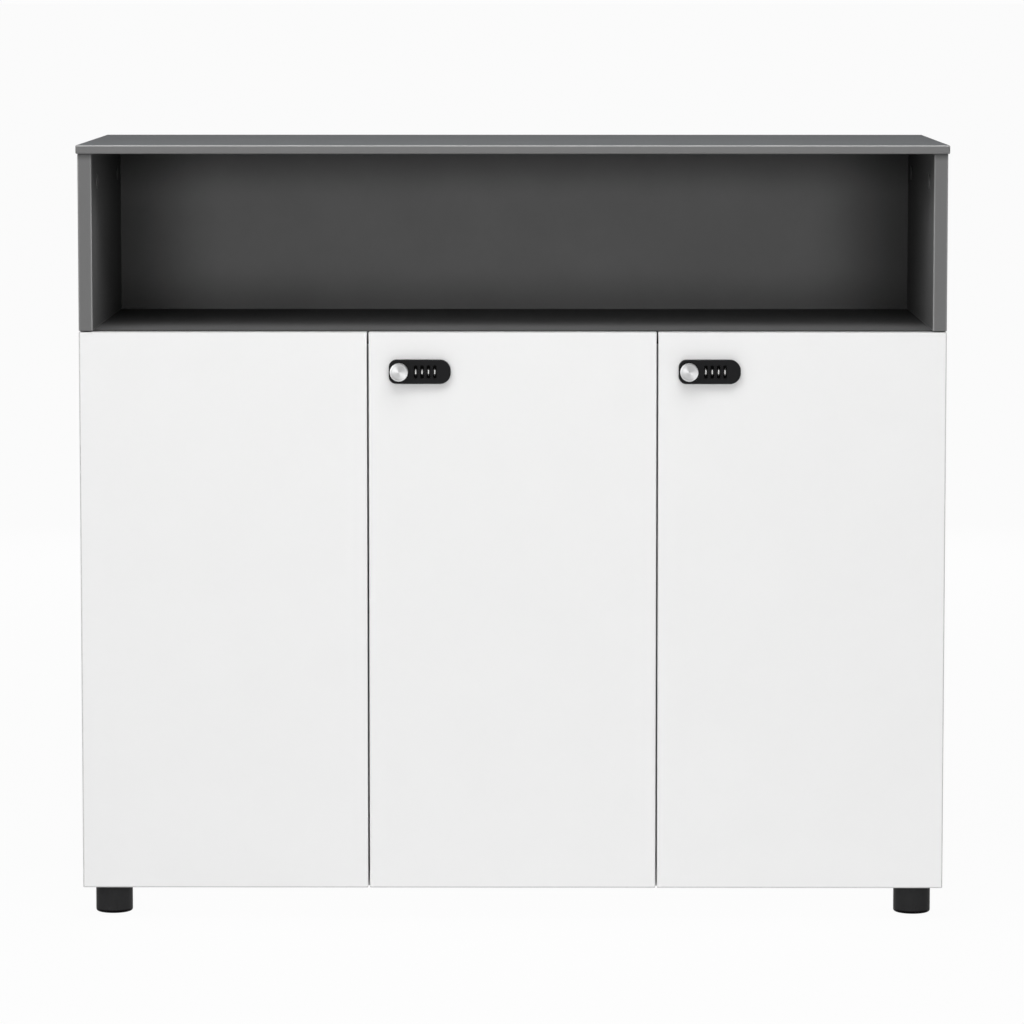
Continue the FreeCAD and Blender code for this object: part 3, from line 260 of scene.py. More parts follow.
# %% [markdown]
# ## Melamine boards
#
# The boards are chipboard faced with melamine paper: a hard, even colour with a faint pearl embossing
# that breaks up the gloss. Their cut edges are closed with an ABS band one millimetre thick, glued on and
# trimmed flush. From near by one sees the hairline where band and facing meet, and the band is a touch
# glossier. A picture texture could show that, but the boards differ in size, so the pattern is worked out
# from each board's own corners: the distance to the nearest border of the face tells the band from the
# facing.
#
# Along the arrises, where two faces meet, a thin line is painted into the colour. On the grey boards it is
# lighter, a painted highlight that draws the thin bright line along the front of the top; on a lying board
# only the upper arris has it. On the niche floor it is darker, painted shade. On the white boards the band
# is a shade greyer than the facing, and the arris line is painted shade, greyer still, which outlines the
# front. The doors have band and line only along the sides and the foot of the whole front, not where they
# meet.
#
# The pearl is about 0.8 mm from bump to bump. At this distance that is finer than a pixel, so it is drawn
# at 1.6 mm, and a wide cloudiness of a few centimetres stands for the slight unevenness of the pressed
# sheet.

# %% Distances on a board
AXES = "XYZ"


def from_sides(tree, axes, along, low, high):
    """Distance of a point from the nearest side of a box, measured along the given axes."""
    nearest = None
    for axis in along:
        at = AXES.index(axis)
        middle, half = (low[at] + high[at]) / 2, (high[at] - low[at]) / 2
        offset = add(tree, "ShaderNodeMath", {0: axes.outputs[axis], 1: middle}, operation="SUBTRACT")
        size = add(tree, "ShaderNodeMath", {0: offset.outputs[0]}, operation="ABSOLUTE")
        away = add(tree, "ShaderNodeMath", {0: half, 1: size.outputs[0]}, operation="SUBTRACT").outputs[0]
        if nearest is None:
            nearest = away
        else:
            nearest = add(tree, "ShaderNodeMath", {0: nearest, 1: away}, operation="MINIMUM").outputs[0]
    return nearest


print(f"distances along {', '.join(AXES)}")

# %% The melamine finish
BAND = 1.0 * MM
HAIRLINE = 0.18 * MM
ARRIS = 1.9 * MM
PEARL = 1.6 * MM
PEARL_STRENGTH, PEARL_DEPTH = 0.12, 0.06 * MM
CLOUD = 70 * MM
NOISE_LOW, NOISE_HIGH = 0.3, 0.7
FACING_GLOSS = (0.46, 0.56)
BAND_SMOOTHER = -0.08
JOINT_COLOUR, JOINT_DARK, JOINT_SUNK = "#2c2c2d", 0.22, -1.5


def melamine(name, colours, low, high, thin, outline):
    """Melamine for a board from low to high; thin is its short axis, outline the box whose rim takes the
    band and the painted edge line.
    """
    finish, tree, shader, place = new_finish(name, 0.5, Specular_IOR_Level=colours["gloss"], IOR=1.5)
    axes = add(tree, "ShaderNodeSeparateXYZ", {0: place})
    face_axes = AXES.replace(thin, "")
    border = from_sides(tree, axes, face_axes, low, high)
    rim = from_sides(tree, axes, face_axes, *outline)
    if thin == "Z":
        level = axes.outputs[thin]
        below_face = add(tree, "ShaderNodeMath", {0: high.z, 1: level}, operation="SUBTRACT").outputs[0]
    else:
        below_face = from_sides(tree, axes, thin, low, high)

    on_band = add(tree, "ShaderNodeMath", {0: rim, 1: BAND}, operation="LESS_THAN").outputs[0]
    off_joint = add(tree, "ShaderNodeMath", {0: border, 1: BAND}, operation="SUBTRACT")
    joint_gap = add(tree, "ShaderNodeMath", {0: off_joint.outputs[0]}, operation="ABSOLUTE").outputs[0]
    hairline = add(tree, "ShaderNodeMapRange",
                   {0: joint_gap, 1: 0.0, 2: HAIRLINE, 3: 1.0, 4: 0.0}).outputs[0]
    # The arris line: painted highlight on the grey boards, painted shade on the niche floor and the white
    # boards.
    near_edge = add(tree, "ShaderNodeMath", {0: rim, 1: below_face}, operation="MAXIMUM").outputs[0]
    arris = add(tree, "ShaderNodeMapRange",
                {0: near_edge, 1: ARRIS / 2, 2: ARRIS, 3: colours["edge_light_and_shade"], 4: 0.0}).outputs[0]

    uneven = colours["cloudiness"]
    cloud = add(tree, "ShaderNodeTexNoise",
                {"Vector": place, "Scale": 1 / CLOUD, "Detail": 3.0, "Roughness": 0.6})
    shade = add(tree, "ShaderNodeMapRange",
                {0: cloud.outputs[0], 1: NOISE_LOW, 2: NOISE_HIGH, 3: 1 - uneven, 4: 1 + uneven})
    facing = add(tree, "ShaderNodeMix", {0: 1.0, 6: linear(colours["face"]), 7: shade.outputs[0]},
                 data_type="RGBA", blend_type="MULTIPLY")
    banded = add(tree, "ShaderNodeMix", {0: on_band, 6: facing.outputs[2], 7: linear(colours["band"])},
                 data_type="RGBA")
    dimmed = add(tree, "ShaderNodeMath", {0: hairline, 1: JOINT_DARK}, operation="MULTIPLY")
    jointed = add(tree, "ShaderNodeMix",
                  {0: dimmed.outputs[0], 6: banded.outputs[2], 7: linear(JOINT_COLOUR)}, data_type="RGBA")
    edge_light_and_shade = add(tree, "ShaderNodeMix", {0: arris, 6: jointed.outputs[2], 7: linear(colours["arris"])},
                 data_type="RGBA")
    tree.links.new(edge_light_and_shade.outputs[2], shader.inputs["Base Color"])

    pearl = add(tree, "ShaderNodeTexNoise", {"Vector": place, "Scale": 1 / PEARL, "Detail": 2.0}).outputs[0]
    gloss = add(tree, "ShaderNodeMapRange",
                {0: pearl, 1: NOISE_LOW, 2: NOISE_HIGH, 3: FACING_GLOSS[0], 4: FACING_GLOSS[1]})
    smoother = add(tree, "ShaderNodeMath", {0: on_band, 1: BAND_SMOOTHER, 2: gloss.outputs[0]},
                   operation="MULTIPLY_ADD")
    tree.links.new(smoother.outputs[0], shader.inputs["Roughness"])
    relief = add(tree, "ShaderNodeMath", {0: hairline, 1: JOINT_SUNK, 2: pearl}, operation="MULTIPLY_ADD")
    bump = add(tree, "ShaderNodeBump",
               {"Height": relief.outputs[0], "Strength": PEARL_STRENGTH, "Distance": PEARL_DEPTH})
    tree.links.new(bump.outputs[0], shader.inputs["Normal"])
    return finish


print(f"edge band {BAND / MM:.1f} mm, pearl {PEARL / MM:.1f} mm")

# %% [markdown]
# The same finish covers every board: a bluish grey on the top, graphite grey round the niche, and white on
# the doors and the carcass behind them. The band and the arris of the niche floor are darker: painted shade
# that draws the dark line above the doors. The backs are thin board without a band, so their border lies
# inside the grooves that hold them. The axis of each board's thickness is the shortest side of its box.

# %% Boards get their finish
DOORS = ["door_left", "door_middle", "door_right"]
BOARDS = {
    "top": ["top_panel"],
    "grey": ["niche_side_left", "niche_side_right", "niche_back"],
    "floor": ["niche_floor"],
    "white": DOORS + ["side_panel_left", "side_panel_right", "divider_panel", "bottom_panel", "lower_back",
                      "shelf_wide", "shelf_narrow"],
}
GREY_LOOK = {"cloudiness": 0.035, "gloss": 0.03}
WHITE_LOOK = {"cloudiness": 0.006, "gloss": 0.2}
# The arris colours are painted: a highlight on the top and round the niche, shade on the niche floor and
# the white boards. The floor's dark band is painted shade as well.
BOARD_COLOURS = {
    "top": {"face": "#717375", "band": "#6b6b6b", "arris": "#a6a6a6", "edge_light_and_shade": 0.95, **GREY_LOOK},
    "grey": {"face": "#656565", "band": "#676767", "arris": "#8c8c8c", "edge_light_and_shade": 0.6, **GREY_LOOK},
    "floor": {"face": "#656565", "band": "#484848", "arris": "#484848", "edge_light_and_shade": 0.6, **GREY_LOOK},
    "white": {"face": "#dcdcdc", "band": "#bfbfbf", "arris": "#b2b2b2", "edge_light_and_shade": 0.7, **WHITE_LOOK},
}

front_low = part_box("door_left")[0]
front_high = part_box("door_right")[1] + Vector((0, 0, 2 * ARRIS))
for colour, names in BOARDS.items():
    for name in names:
        low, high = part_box(name)
        sides = [high[at] - low[at] for at in range(len(AXES))]
        thin_axis = AXES[sides.index(min(sides))]
        outline = (front_low, front_high) if name in DOORS else (low, high)
        finish = melamine(f"{colour}_melamine_{name}", BOARD_COLOURS[colour], low, high, thin_axis, outline)
        dress(finish, [name])
    print(f"{len(names)} {colour} boards")

# %% [markdown]
# In the photograph the niche is darker along its corners than the soft light here makes it. The light could
# be made harder, but then the doors would lose their evenness, so a part of that shade is painted into the
# finish. It follows the distance from the corners, on the faces that look into the niche and on the front
# edges of the sides just under the top. Away from the corners the same ramps paint light: the middle of the
# back and the fronts of the sides and the floor are painted lighter. It is put between the colour of the
# board and the shader, so the rest of the finish stays as it is.

# %% Deeper corners in the niche
INNER_SKIN = 1 * MM
BACK_SIDE_REACH, BACK_LOW_REACH, BACK_TOP_REACH = 130 * MM, 50 * MM, 70 * MM
SIDE_TOP_REACH = 90 * MM
FLOOR_LIGHT_REACH, FLOOR_DARK_REACH = 20 * MM, 170 * MM
EDGE_TOP_REACH = 9 * MM
niche_left, niche_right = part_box("niche_side_left")[1].x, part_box("niche_side_right")[0].x
niche_low, niche_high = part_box("niche_floor")[1].z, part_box("top_panel")[0].z
niche_front, niche_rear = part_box("niche_floor")[0].y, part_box("niche_back")[0].y
niche_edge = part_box("niche_side_left")[0].y


def deepen(name, axis, side, limit, ramps):
    """Shades a board beyond a limit by ramps: axis, start, end, shade at the start, shade at the end."""
    tree = NODES[name].material_slots[0].material.node_tree
    shader = tree.nodes["Principled BSDF"]
    shade = shader.inputs["Base Color"].links[0].from_socket
    axes = add(tree, "ShaderNodeSeparateXYZ", {0: add(tree, "ShaderNodeTexCoord").outputs["Object"]})
    inside = add(tree, "ShaderNodeMath", {0: axes.outputs[axis], 1: limit}, operation=side)
    for along, start, end, at_start, at_end in ramps:
        depth = add(tree, "ShaderNodeMapRange",
                    {0: axes.outputs[along], 1: start, 2: end, 3: at_start, 4: at_end},
                    interpolation_type="SMOOTHSTEP")
        shade = add(tree, "ShaderNodeMix", {0: inside.outputs[0], 6: shade, 7: depth.outputs[0]},
                    data_type="RGBA", blend_type="MULTIPLY").outputs[2]
    tree.links.new(shade, shader.inputs["Base Color"])
    print(f"{name} shaded by {len(ramps)} ramps")


BACK_RAMPS = [
    ("X", niche_left, niche_left + BACK_SIDE_REACH, 0.52, 1.16),
    ("X", niche_right, niche_right - BACK_SIDE_REACH, 0.52, 1.16),
    ("Z", niche_low, niche_low + BACK_LOW_REACH, 0.85, 1.06),
    ("Z", niche_high, niche_high - BACK_TOP_REACH, 0.52, 1.02),
]
SIDE_RAMPS = [
    ("Y", niche_front, niche_rear, 1.12, 0.45),
    ("Z", niche_high - SIDE_TOP_REACH, niche_high, 1.0, 0.55),
]
FLOOR_RAMPS = [("Y", niche_front + FLOOR_LIGHT_REACH, niche_front + FLOOR_DARK_REACH, 1.2, 0.52)]
EDGE_RAMPS = [("Z", niche_high - EDGE_TOP_REACH, niche_high, 1.0, 0.5)]
deepen("niche_back", "Y", "LESS_THAN", niche_rear + INNER_SKIN, BACK_RAMPS)
deepen("niche_side_left", "X", "GREATER_THAN", niche_left - INNER_SKIN, SIDE_RAMPS)
deepen("niche_side_right", "X", "LESS_THAN", niche_right + INNER_SKIN, SIDE_RAMPS)
deepen("niche_side_left", "Y", "LESS_THAN", niche_edge + INNER_SKIN, EDGE_RAMPS)
deepen("niche_side_right", "Y", "LESS_THAN", niche_edge + INNER_SKIN, EDGE_RAMPS)
deepen("niche_floor", "Z", "GREATER_THAN", niche_low - INNER_SKIN, FLOOR_RAMPS)

# %% [markdown]
# ## Mottled finishes
#
# Up close no moulded, cast or printed surface is one flat colour. Most of the smaller finishes follow one
# plan, so one function makes them: a noise with the grain of the real surface mixes two near colours, and
# where the grain can be felt it also changes the gloss and raises a relief. The grain is drawn out along
# the height for rolled sheet and for wood.

# %% One function for mottled finishes
def mottled(name, roughness, dark, light, grain, detail, squeeze=1.0, gloss=None, relief=None, **constants):
    """A finish mottled by one noise; gloss is a range of roughness, relief a strength and a depth."""
    finish, tree, shader, place = new_finish(name, roughness, **constants)
    if squeeze != 1.0:
        place = add(tree, "ShaderNodeMapping", {"Vector": place, "Scale": (1.0, 1.0, squeeze)}).outputs[0]
    noise = add(tree, "ShaderNodeTexNoise",
                {"Vector": place, "Scale": 1 / grain, "Detail": detail}).outputs[0]
    tint = add(tree, "ShaderNodeMix", {0: noise, 6: linear(dark), 7: linear(light)}, data_type="RGBA")
    tree.links.new(tint.outputs[2], shader.inputs["Base Color"])
    if gloss:
        rough = add(tree, "ShaderNodeMapRange",
                    {0: noise, 1: NOISE_LOW, 2: NOISE_HIGH, 3: gloss[0], 4: gloss[1]})
        tree.links.new(rough.outputs[0], shader.inputs["Roughness"])
    if relief:
        bump = add(tree, "ShaderNodeBump", {"Height": noise, "Strength": relief[0], "Distance": relief[1]})
        tree.links.new(bump.outputs[0], shader.inputs["Normal"])
    return finish


print(f"noise from {NOISE_LOW} to {NOISE_HIGH}")

# %% [markdown]
# ## Metal fittings
#
# Inside, everything that holds the cabinet together is metal: zinc plated screws, bolts, pegs and
# latches, nickel plated hinges pressed from sheet, and die cast zinc cams. Plating is thin and even, so
# the colour hardly changes, but the sheet below it has a fine grain from rolling that scatters the light.
# A metal needs no separate gloss colour: its base colour tints the reflection, and the roughness and a
# little relief do the rest. The rolled grain is some 0.3 mm wide and is drawn at 0.6 mm so that it shows.

# %% Metal finishes
ROLLED_GRAIN = 0.6 * MM
CAST_GRAIN = 0.9 * MM
SMOOTHER, ROUGHER = 0.07, 0.09
METAL_RELIEF = 0.2
METALS = {
    "nickel_plated_sheet": {
        "dark": "#bab5aa", "light": "#cfcbc2", "rough": 0.24, "grain": ROLLED_GRAIN, "squeeze": 1 / 8,
        "depth": 0.015 * MM,
        "nodes": ["hinge_plates", "hinge_arms", "hinge_cups_left", "hinge_cups_middle", "hinge_cups_right"],
    },
    "die_cast_zinc": {
        "dark": "#8f9194", "light": "#b4b6b8", "rough": 0.48, "grain": CAST_GRAIN, "squeeze": 1.0,
        "depth": 0.08 * MM,
        "nodes": ["cam_fittings"],
    },
    "zinc_plated_steel": {
        "dark": "#aeb2b6", "light": "#c6c9cc", "rough": 0.34, "grain": ROLLED_GRAIN, "squeeze": 1 / 4,
        "depth": 0.02 * MM,
        "nodes": ["cam_bolts", "niche_screws", "foot_inserts", "shelf_pegs", "hinge_screws",
                  "strike_plates", "strike_screws", "door_screws_left", "door_screws_middle",
                  "door_screws_right", "dial_axle_middle", "dial_axle_right", "lock_ring_nut_middle",
                  "lock_ring_nut_right", "latch_middle", "latch_right", "slide_bolt_base",
                  "slide_bolt_rod"],
    },
}
for name, metal in METALS.items():
    rough = metal["rough"]
    finish = mottled(name, rough, metal["dark"], metal["light"], grain=metal["grain"], detail=4.0,
                     squeeze=metal["squeeze"], gloss=(rough - SMOOTHER, rough + ROUGHER),
                     relief=(METAL_RELIEF, metal["depth"]), Metallic=1.0)
    dress(finish, metal["nodes"])
    print(f"{name} on {len(metal['nodes'])} nodes")

# %% [markdown]
# ## Dowels, stops and caps
#
# Beech dowels sit in the corners and show only when a board is taken off: pale red brown wood with short
# dark flecks along the grain. The doors close on soft stops of clear polyurethane, which look milky,
# because the light enters them and scatters. The cams are covered by caps moulded in the grey of the board,
# in a spark eroded mould that leaves them dull. In the niche they take the same painted shade and light as
# the sides that they sit in.

# %% Beech, stop and cap finishes
beech = mottled("turned_beech", 0.6, "#a9784c", "#dcb98c", grain=0.9 * MM, detail=5.0, squeeze=0.12,
                relief=(0.3, 0.08 * MM), Specular_IOR_Level=0.3)
dress(beech, ["wood_dowels"])
stop_gel = mottled("clear_soft_stop", 0.28, "#d2d2cf", "#e6e6e4", grain=2.5 * MM, detail=2.0,
                   Specular_IOR_Level=0.5, Subsurface_Weight=0.25, Subsurface_Scale=0.8 * MM)
dress(stop_gel, ["door_bumpers"])
cap_plastic = mottled("moulded_grey_cap", 0.5, "#646464", "#696969", grain=0.5 * MM, detail=3.0,
                      relief=(0.3, 0.03 * MM), Specular_IOR_Level=0.4)
dress(cap_plastic, ["cam_caps"])
deepen("cam_caps", "Z", "GREATER_THAN", niche_low, SIDE_RAMPS)
print("beech, stops and caps done")

# %% [markdown]
# ## The feet
#
# The feet are moulded from black polypropylene in a spark eroded mould, which leaves a fine, matt, leathery
# grain. It dulls the highlight to a broad soft band on one side. The lowest few millimetres are painted
# darker still: painted shade where the foot turns down to the floor. The glow of the floor is kept off the
# feet, because it would make their edges as bright as their front.

# %% Foot plastic
FOOT_GRAIN = 0.9 * MM
# Height and strength of the painted shade at the bottom of each foot.
DARK_BOTTOM_HEIGHT = 4 * MM
BOTTOM_PAINTED_SHADE, BODY_SHADE, GRAIN_SHADE = -0.6, 0.25, 0.5
SHADE_LOW, SHADE_HIGH = 0.1, 0.6
FOOT_GLOSS = (0.36, 0.5)
foot_plastic, tree, shader, place = new_finish("grained_black_polypropylene", 0.5, Specular_IOR_Level=0.04)
grain = add(tree, "ShaderNodeTexNoise",
            {"Vector": place, "Scale": 1 / FOOT_GRAIN, "Detail": 4.0, "Roughness": 0.65}).outputs[0]
level = add(tree, "ShaderNodeSeparateXYZ", {0: place}).outputs["Z"]
# The lowest millimetres are painted darker: painted shade where the foot faces the floor.
body = add(tree, "ShaderNodeMapRange",
           {0: level, 1: DARK_BOTTOM_HEIGHT / 2, 2: DARK_BOTTOM_HEIGHT, 3: BOTTOM_PAINTED_SHADE, 4: BODY_SHADE})
worn = add(tree, "ShaderNodeMath", {0: grain, 1: GRAIN_SHADE, 2: body.outputs[0]},
           operation="MULTIPLY_ADD").outputs[0]
plastic = add(tree, "ShaderNodeMix",
              {0: worn, 6: linear("#080808"), 7: linear("#525253")}, data_type="RGBA")
tree.links.new(plastic.outputs[2], shader.inputs["Base Color"])
foot_gloss = add(tree, "ShaderNodeMapRange",
                 {0: worn, 1: SHADE_LOW, 2: SHADE_HIGH, 3: FOOT_GLOSS[0], 4: FOOT_GLOSS[1]})
tree.links.new(foot_gloss.outputs[0], shader.inputs["Roughness"])
leather = add(tree, "ShaderNodeBump", {"Height": grain, "Strength": 0.35, "Distance": 0.05 * MM})
tree.links.new(leather.outputs[0], shader.inputs["Normal"])
print(f"foot grain {FOOT_GRAIN / MM:.1f} mm, dark_bottom {DARK_BOTTOM_HEIGHT / MM:.0f} mm")

# %% Feet get their finish
FEET = ["foot_front_left", "foot_front_right", "foot_rear_left", "foot_rear_right"]
dress(foot_plastic, FEET)
out_of_the_glow = bpy.data.collections.new("out_of_the_glow")
for name in FEET:
    out_of_the_glow.objects.link(NODES[name])
for entry in out_of_the_glow.collection_objects:
    entry.light_linking.link_state = "EXCLUDE"
glow.light_linking.receiver_collection = out_of_the_glow
print(f"{len(FEET)} feet kept out of the glow")

# %% [markdown]
# ## The lock case
#
# The case is satin black ABS. The face is nearly smooth and mirrors the bright room as a soft grey, and
# its rounded rim turns away from the light and stays darker. A whisper of relief keeps it from looking
# like glass.

# %% Lock case plastic
LOCKED_DOORS = ["middle", "right"]
lock_plastic = mottled("satin_black_abs", 0.36, "#111112", "#1c1c1d", grain=0.7 * MM, detail=3.0,
                       gloss=(0.32, 0.42), relief=(0.15, 0.02 * MM), Specular_IOR_Level=0.09)
dress(lock_plastic, [f"lock_case_{door}" for door in LOCKED_DOORS])
print(f"{len(LOCKED_DOORS)} lock cases")

# %% [markdown]
# ## Number wheels
#
# Each lock has four wheels with the numbers 0 to 9. A real wheel is a ten sided moulding: a flat for each
# number, a small ridge between two flats for the finger tip, and white numbers printed a hair proud. The
# solid of the frame is a plain disc, so a finer wheel takes its place. It starts from two rings of ten
# corners, which are bridged, extruded to the wheel's width and bevelled along the corners, and each flat
# is then sunk a little. The numbers are text made into a mesh, narrow and bold as on such locks, and laid
# on the flats with 0 to the front.

# %% Numerals as meshes
DIGITS = "0123456789"
NUMERAL_WIDTH = 1.2 * MM
NUMERAL_HEIGHT = 5.4 * MM
NUMERAL_PROUD = 0.16 * MM
FONT_THICKNESS, FONT_BOLDNESS, FONT_STEPS = 0.05, 0.05, 4


def numeral(digit):
    """A bold numeral in the font's own size, lying flat and facing up."""
    words = bpy.data.curves.new("numeral", "FONT")
    words.body = digit
    words.extrude = FONT_THICKNESS
    words.offset = FONT_BOLDNESS
    words.resolution_u = FONT_STEPS
    holder = bpy.data.objects.new("numeral", words)
    bpy.context.collection.objects.link(holder)
    graph = bpy.context.evaluated_depsgraph_get()
    mesh = bpy.data.meshes.new_from_object(holder.evaluated_get(graph))
    bpy.data.objects.remove(holder)
    return mesh


def extent(mesh):
    """Lowest and highest corner of a mesh."""
    spots = [vert.co for vert in mesh.vertices]
    low = Vector([min(spot[at] for spot in spots) for at in range(len(AXES))])
    high = Vector([max(spot[at] for spot in spots) for at in range(len(AXES))])
    return low, high


numeral_meshes = {digit: numeral(digit) for digit in DIGITS}
zero_low, zero_high = extent(numeral_meshes["0"])
zero_size = zero_high - zero_low
numeral_scale = Vector((NUMERAL_WIDTH / zero_size.x, NUMERAL_HEIGHT / zero_size.y,
                        NUMERAL_PROUD / zero_size.z))
for digit, mesh in numeral_meshes.items():
    low, high = extent(mesh)
    mesh.transform(Matrix.Diagonal(numeral_scale.to_4d()) @ Matrix.Translation(-(low + high) / 2))
print(f"{len(numeral_meshes)} numerals, zero {NUMERAL_WIDTH / MM:.1f} x {NUMERAL_HEIGHT / MM:.1f} mm")

# %% Wheel finishes
wheel_plastic = mottled("black_acetal_wheel", 0.4, "#08080a", "#131314", grain=0.4 * MM, detail=2.0,
                        relief=(0.15, 0.02 * MM), Specular_IOR_Level=0.4)
number_paint = mottled("white_pad_print", 0.45, "#cfcfcd", "#e2e2e0", grain=0.5 * MM, detail=2.0,
                       Specular_IOR_Level=0.4)
print("wheel and print finishes")

# %% Wheels in place of the plain discs
WHEEL_RADIUS = 9.6 * MM
WHEEL_BORE = 1.6 * MM
RIDGE = 0.35 * MM
FLAT_MARGIN = 0.3 * MM
FLAT_SUNK = 0.16 * MM
WHEELS_PER_LOCK = 4
STEP = 2 * math.pi / len(DIGITS)
UPRIGHT = Matrix.Rotation(QUARTER_TURN, 4, "X")
SIDEWAYS = Matrix.Rotation(QUARTER_TURN, 4, "Y")
SLIGHT_TILT = 0.1


def thicken(form, depth):
    """Gives a flat form a thickness along Z."""
    grown = bmesh.ops.extrude_face_region(form, geom=form.faces[:])
    risen = [part for part in grown["geom"] if isinstance(part, bmesh.types.BMVert)]
    bmesh.ops.translate(form, verts=risen, vec=(0, 0, depth))
    bmesh.ops.recalc_face_normals(form, faces=form.faces[:])


def ten_sided(form, width):
    """The bare wheel about Z: a thick ten sided ring with bevelled corners and sunk flats."""
    for size in (WHEEL_RADIUS, WHEEL_BORE):
        bmesh.ops.create_circle(form, segments=len(DIGITS), radius=size)
    bmesh.ops.bridge_loops(form, edges=form.edges[:])
    thicken(form, width)
    upright = [edge for edge in form.edges if abs(edge.verts[0].co.z - edge.verts[1].co.z) > width / 2]
    corners = [edge for edge in upright if edge.verts[0].co.xy.length > WHEEL_RADIUS / 2]
    bmesh.ops.bevel(form, geom=corners, offset=RIDGE, offset_type="OFFSET", affect="EDGES", segments=2,
                    profile=0.5, material=-1)
    outer = [face for face in form.faces if abs(face.normal.z) < SLIGHT_TILT
             and face.calc_center_median().xy.length > WHEEL_RADIUS / 2]
    flats = [face for face in outer if face.calc_area() > width * WHEEL_RADIUS / 4]
    bmesh.ops.inset_individual(form, faces=flats, thickness=FLAT_MARGIN, depth=-FLAT_SUNK)


def number_wheel(name, low, high):
    """A ten sided wheel between the corners of its disc, turning about X, with its numbers."""
    width = high.x - low.x
    form = bmesh.new()
    ten_sided(form, width)
    turn = SIDEWAYS @ Matrix.Rotation(STEP / 2, 4, "Z")
    bmesh.ops.transform(form, matrix=turn @ Matrix.Translation((0, 0, -width / 2)), verts=form.verts[:])
    plain = len(form.faces)
    seat = WHEEL_RADIUS * math.cos(STEP / 2) - FLAT_SUNK
    for at, digit in enumerate(DIGITS):
        printed = numeral_meshes[digit].copy()
        printed.transform(Matrix.Rotation(at * STEP, 4, "X") @ Matrix.Translation((0, -seat, 0)) @ UPRIGHT)
        form.from_mesh(printed)
        bpy.data.meshes.remove(printed)
    form.faces.ensure_lookup_table()
    for face in form.faces[plain:]:
        face.material_index = 1
    bmesh.ops.translate(form, verts=form.verts[:], vec=(low + high) / 2)
    return to_piece(form, name, wheel_plastic, number_paint)


for door in LOCKED_DOORS:
    for number in range(1, WHEELS_PER_LOCK + 1):
        disc = f"lock_dial_{door}_{number}"
        wheel = number_wheel(f"number_wheel_{door}_{number}", *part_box(disc))
        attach(wheel, f"{door}_dial_{number}")
        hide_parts(disc)
    print(f"{door} lock: {WHEELS_PER_LOCK} wheels, {len(wheel.data.polygons)} faces each")

# %% [markdown]
# A dull black surround sits in each window of the case and leaves a slot just tall enough for one number.
# It hides the neighbouring numbers, and its black is painted shade that stands in for the shade deep in the
# window. It is a ring with straight sides: a circle pulled apart in the middle, with a smaller one inside
# it, bridged and given a thickness. It clears the ridges of the wheel by a hair.

# %% Window surrounds
SURROUND_HEIGHT = 15.3 * MM
SURROUND_WIDTH = 4.3 * MM
SURROUND_THICK = 0.4 * MM
SURROUND_SUNK = 0.15 * MM
SLOT_HEIGHT = 7.4 * MM
SLOT_WIDTH = 3.3 * MM
RING_SIDES = 32
# Its near black is painted shade for the depth of the window.
shade_black = mottled("painted_shade_black", 0.8, "#030303", "#080808", grain=0.4 * MM, detail=2.0,
                     Specular_IOR_Level=0.02)


def window_surround(name, middle, back):
    """A ring with straight sides round the slot of one wheel, in front of its back."""
    form = bmesh.new()
    half_side = Matrix.Rotation(math.pi / RING_SIDES, 3, "Z")
    for height, width in ((SURROUND_HEIGHT, SURROUND_WIDTH), (SLOT_HEIGHT, SLOT_WIDTH)):
        ring = bmesh.ops.create_circle(form, segments=RING_SIDES, radius=width / 2)["verts"]
        bmesh.ops.rotate(form, verts=ring, cent=(0, 0, 0), matrix=half_side)
        for sign in (1, -1):
            half = [vert for vert in ring if vert.co.y * sign > 0]
            bmesh.ops.translate(form, verts=half, vec=(0, sign * (height - width) / 2, 0))
    bmesh.ops.bridge_loops(form, edges=form.edges[:])
    thicken(form, SURROUND_THICK)
    stand = Matrix.Translation((middle.x, back, middle.z)) @ UPRIGHT
    bmesh.ops.transform(form, matrix=stand, verts=form.verts[:])
    return to_piece(form, name, shade_black)


for door in LOCKED_DOORS:
    surround_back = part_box(f"lock_case_{door}")[0].y + SURROUND_SUNK + SURROUND_THICK
    for number in range(1, WHEELS_PER_LOCK + 1):
        low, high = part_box(f"lock_dial_{door}_{number}")
        surround = window_surround(f"window_surround_{door}_{number}", (low + high) / 2, surround_back)
        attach(surround, f"{door}_door")
    print(f"{door} lock: surrounds {SURROUND_HEIGHT / MM:.1f} mm tall")

# %% [markdown]
# ## The turned knob
#
# The knob is turned from aluminium on a lathe. The tool leaves fine rings on its face, and rings throw
# the light into bright and dark fans that meet in the middle. The face is a shallow cone, so the fan
# towards the light is the brighter one, and a raised rim round it catches a brighter line. The shape is
# half a cross section spun round the spindle, which goes through the door to the latch.
#
# The rings are far too fine to model, so the shader stretches the reflection across them: the knob has
# its own map whose first direction runs from the middle outwards, and the anisotropic gloss follows that
# direction. The side has shallow flutes for the fingers, sunk into the faces of the spun wall.

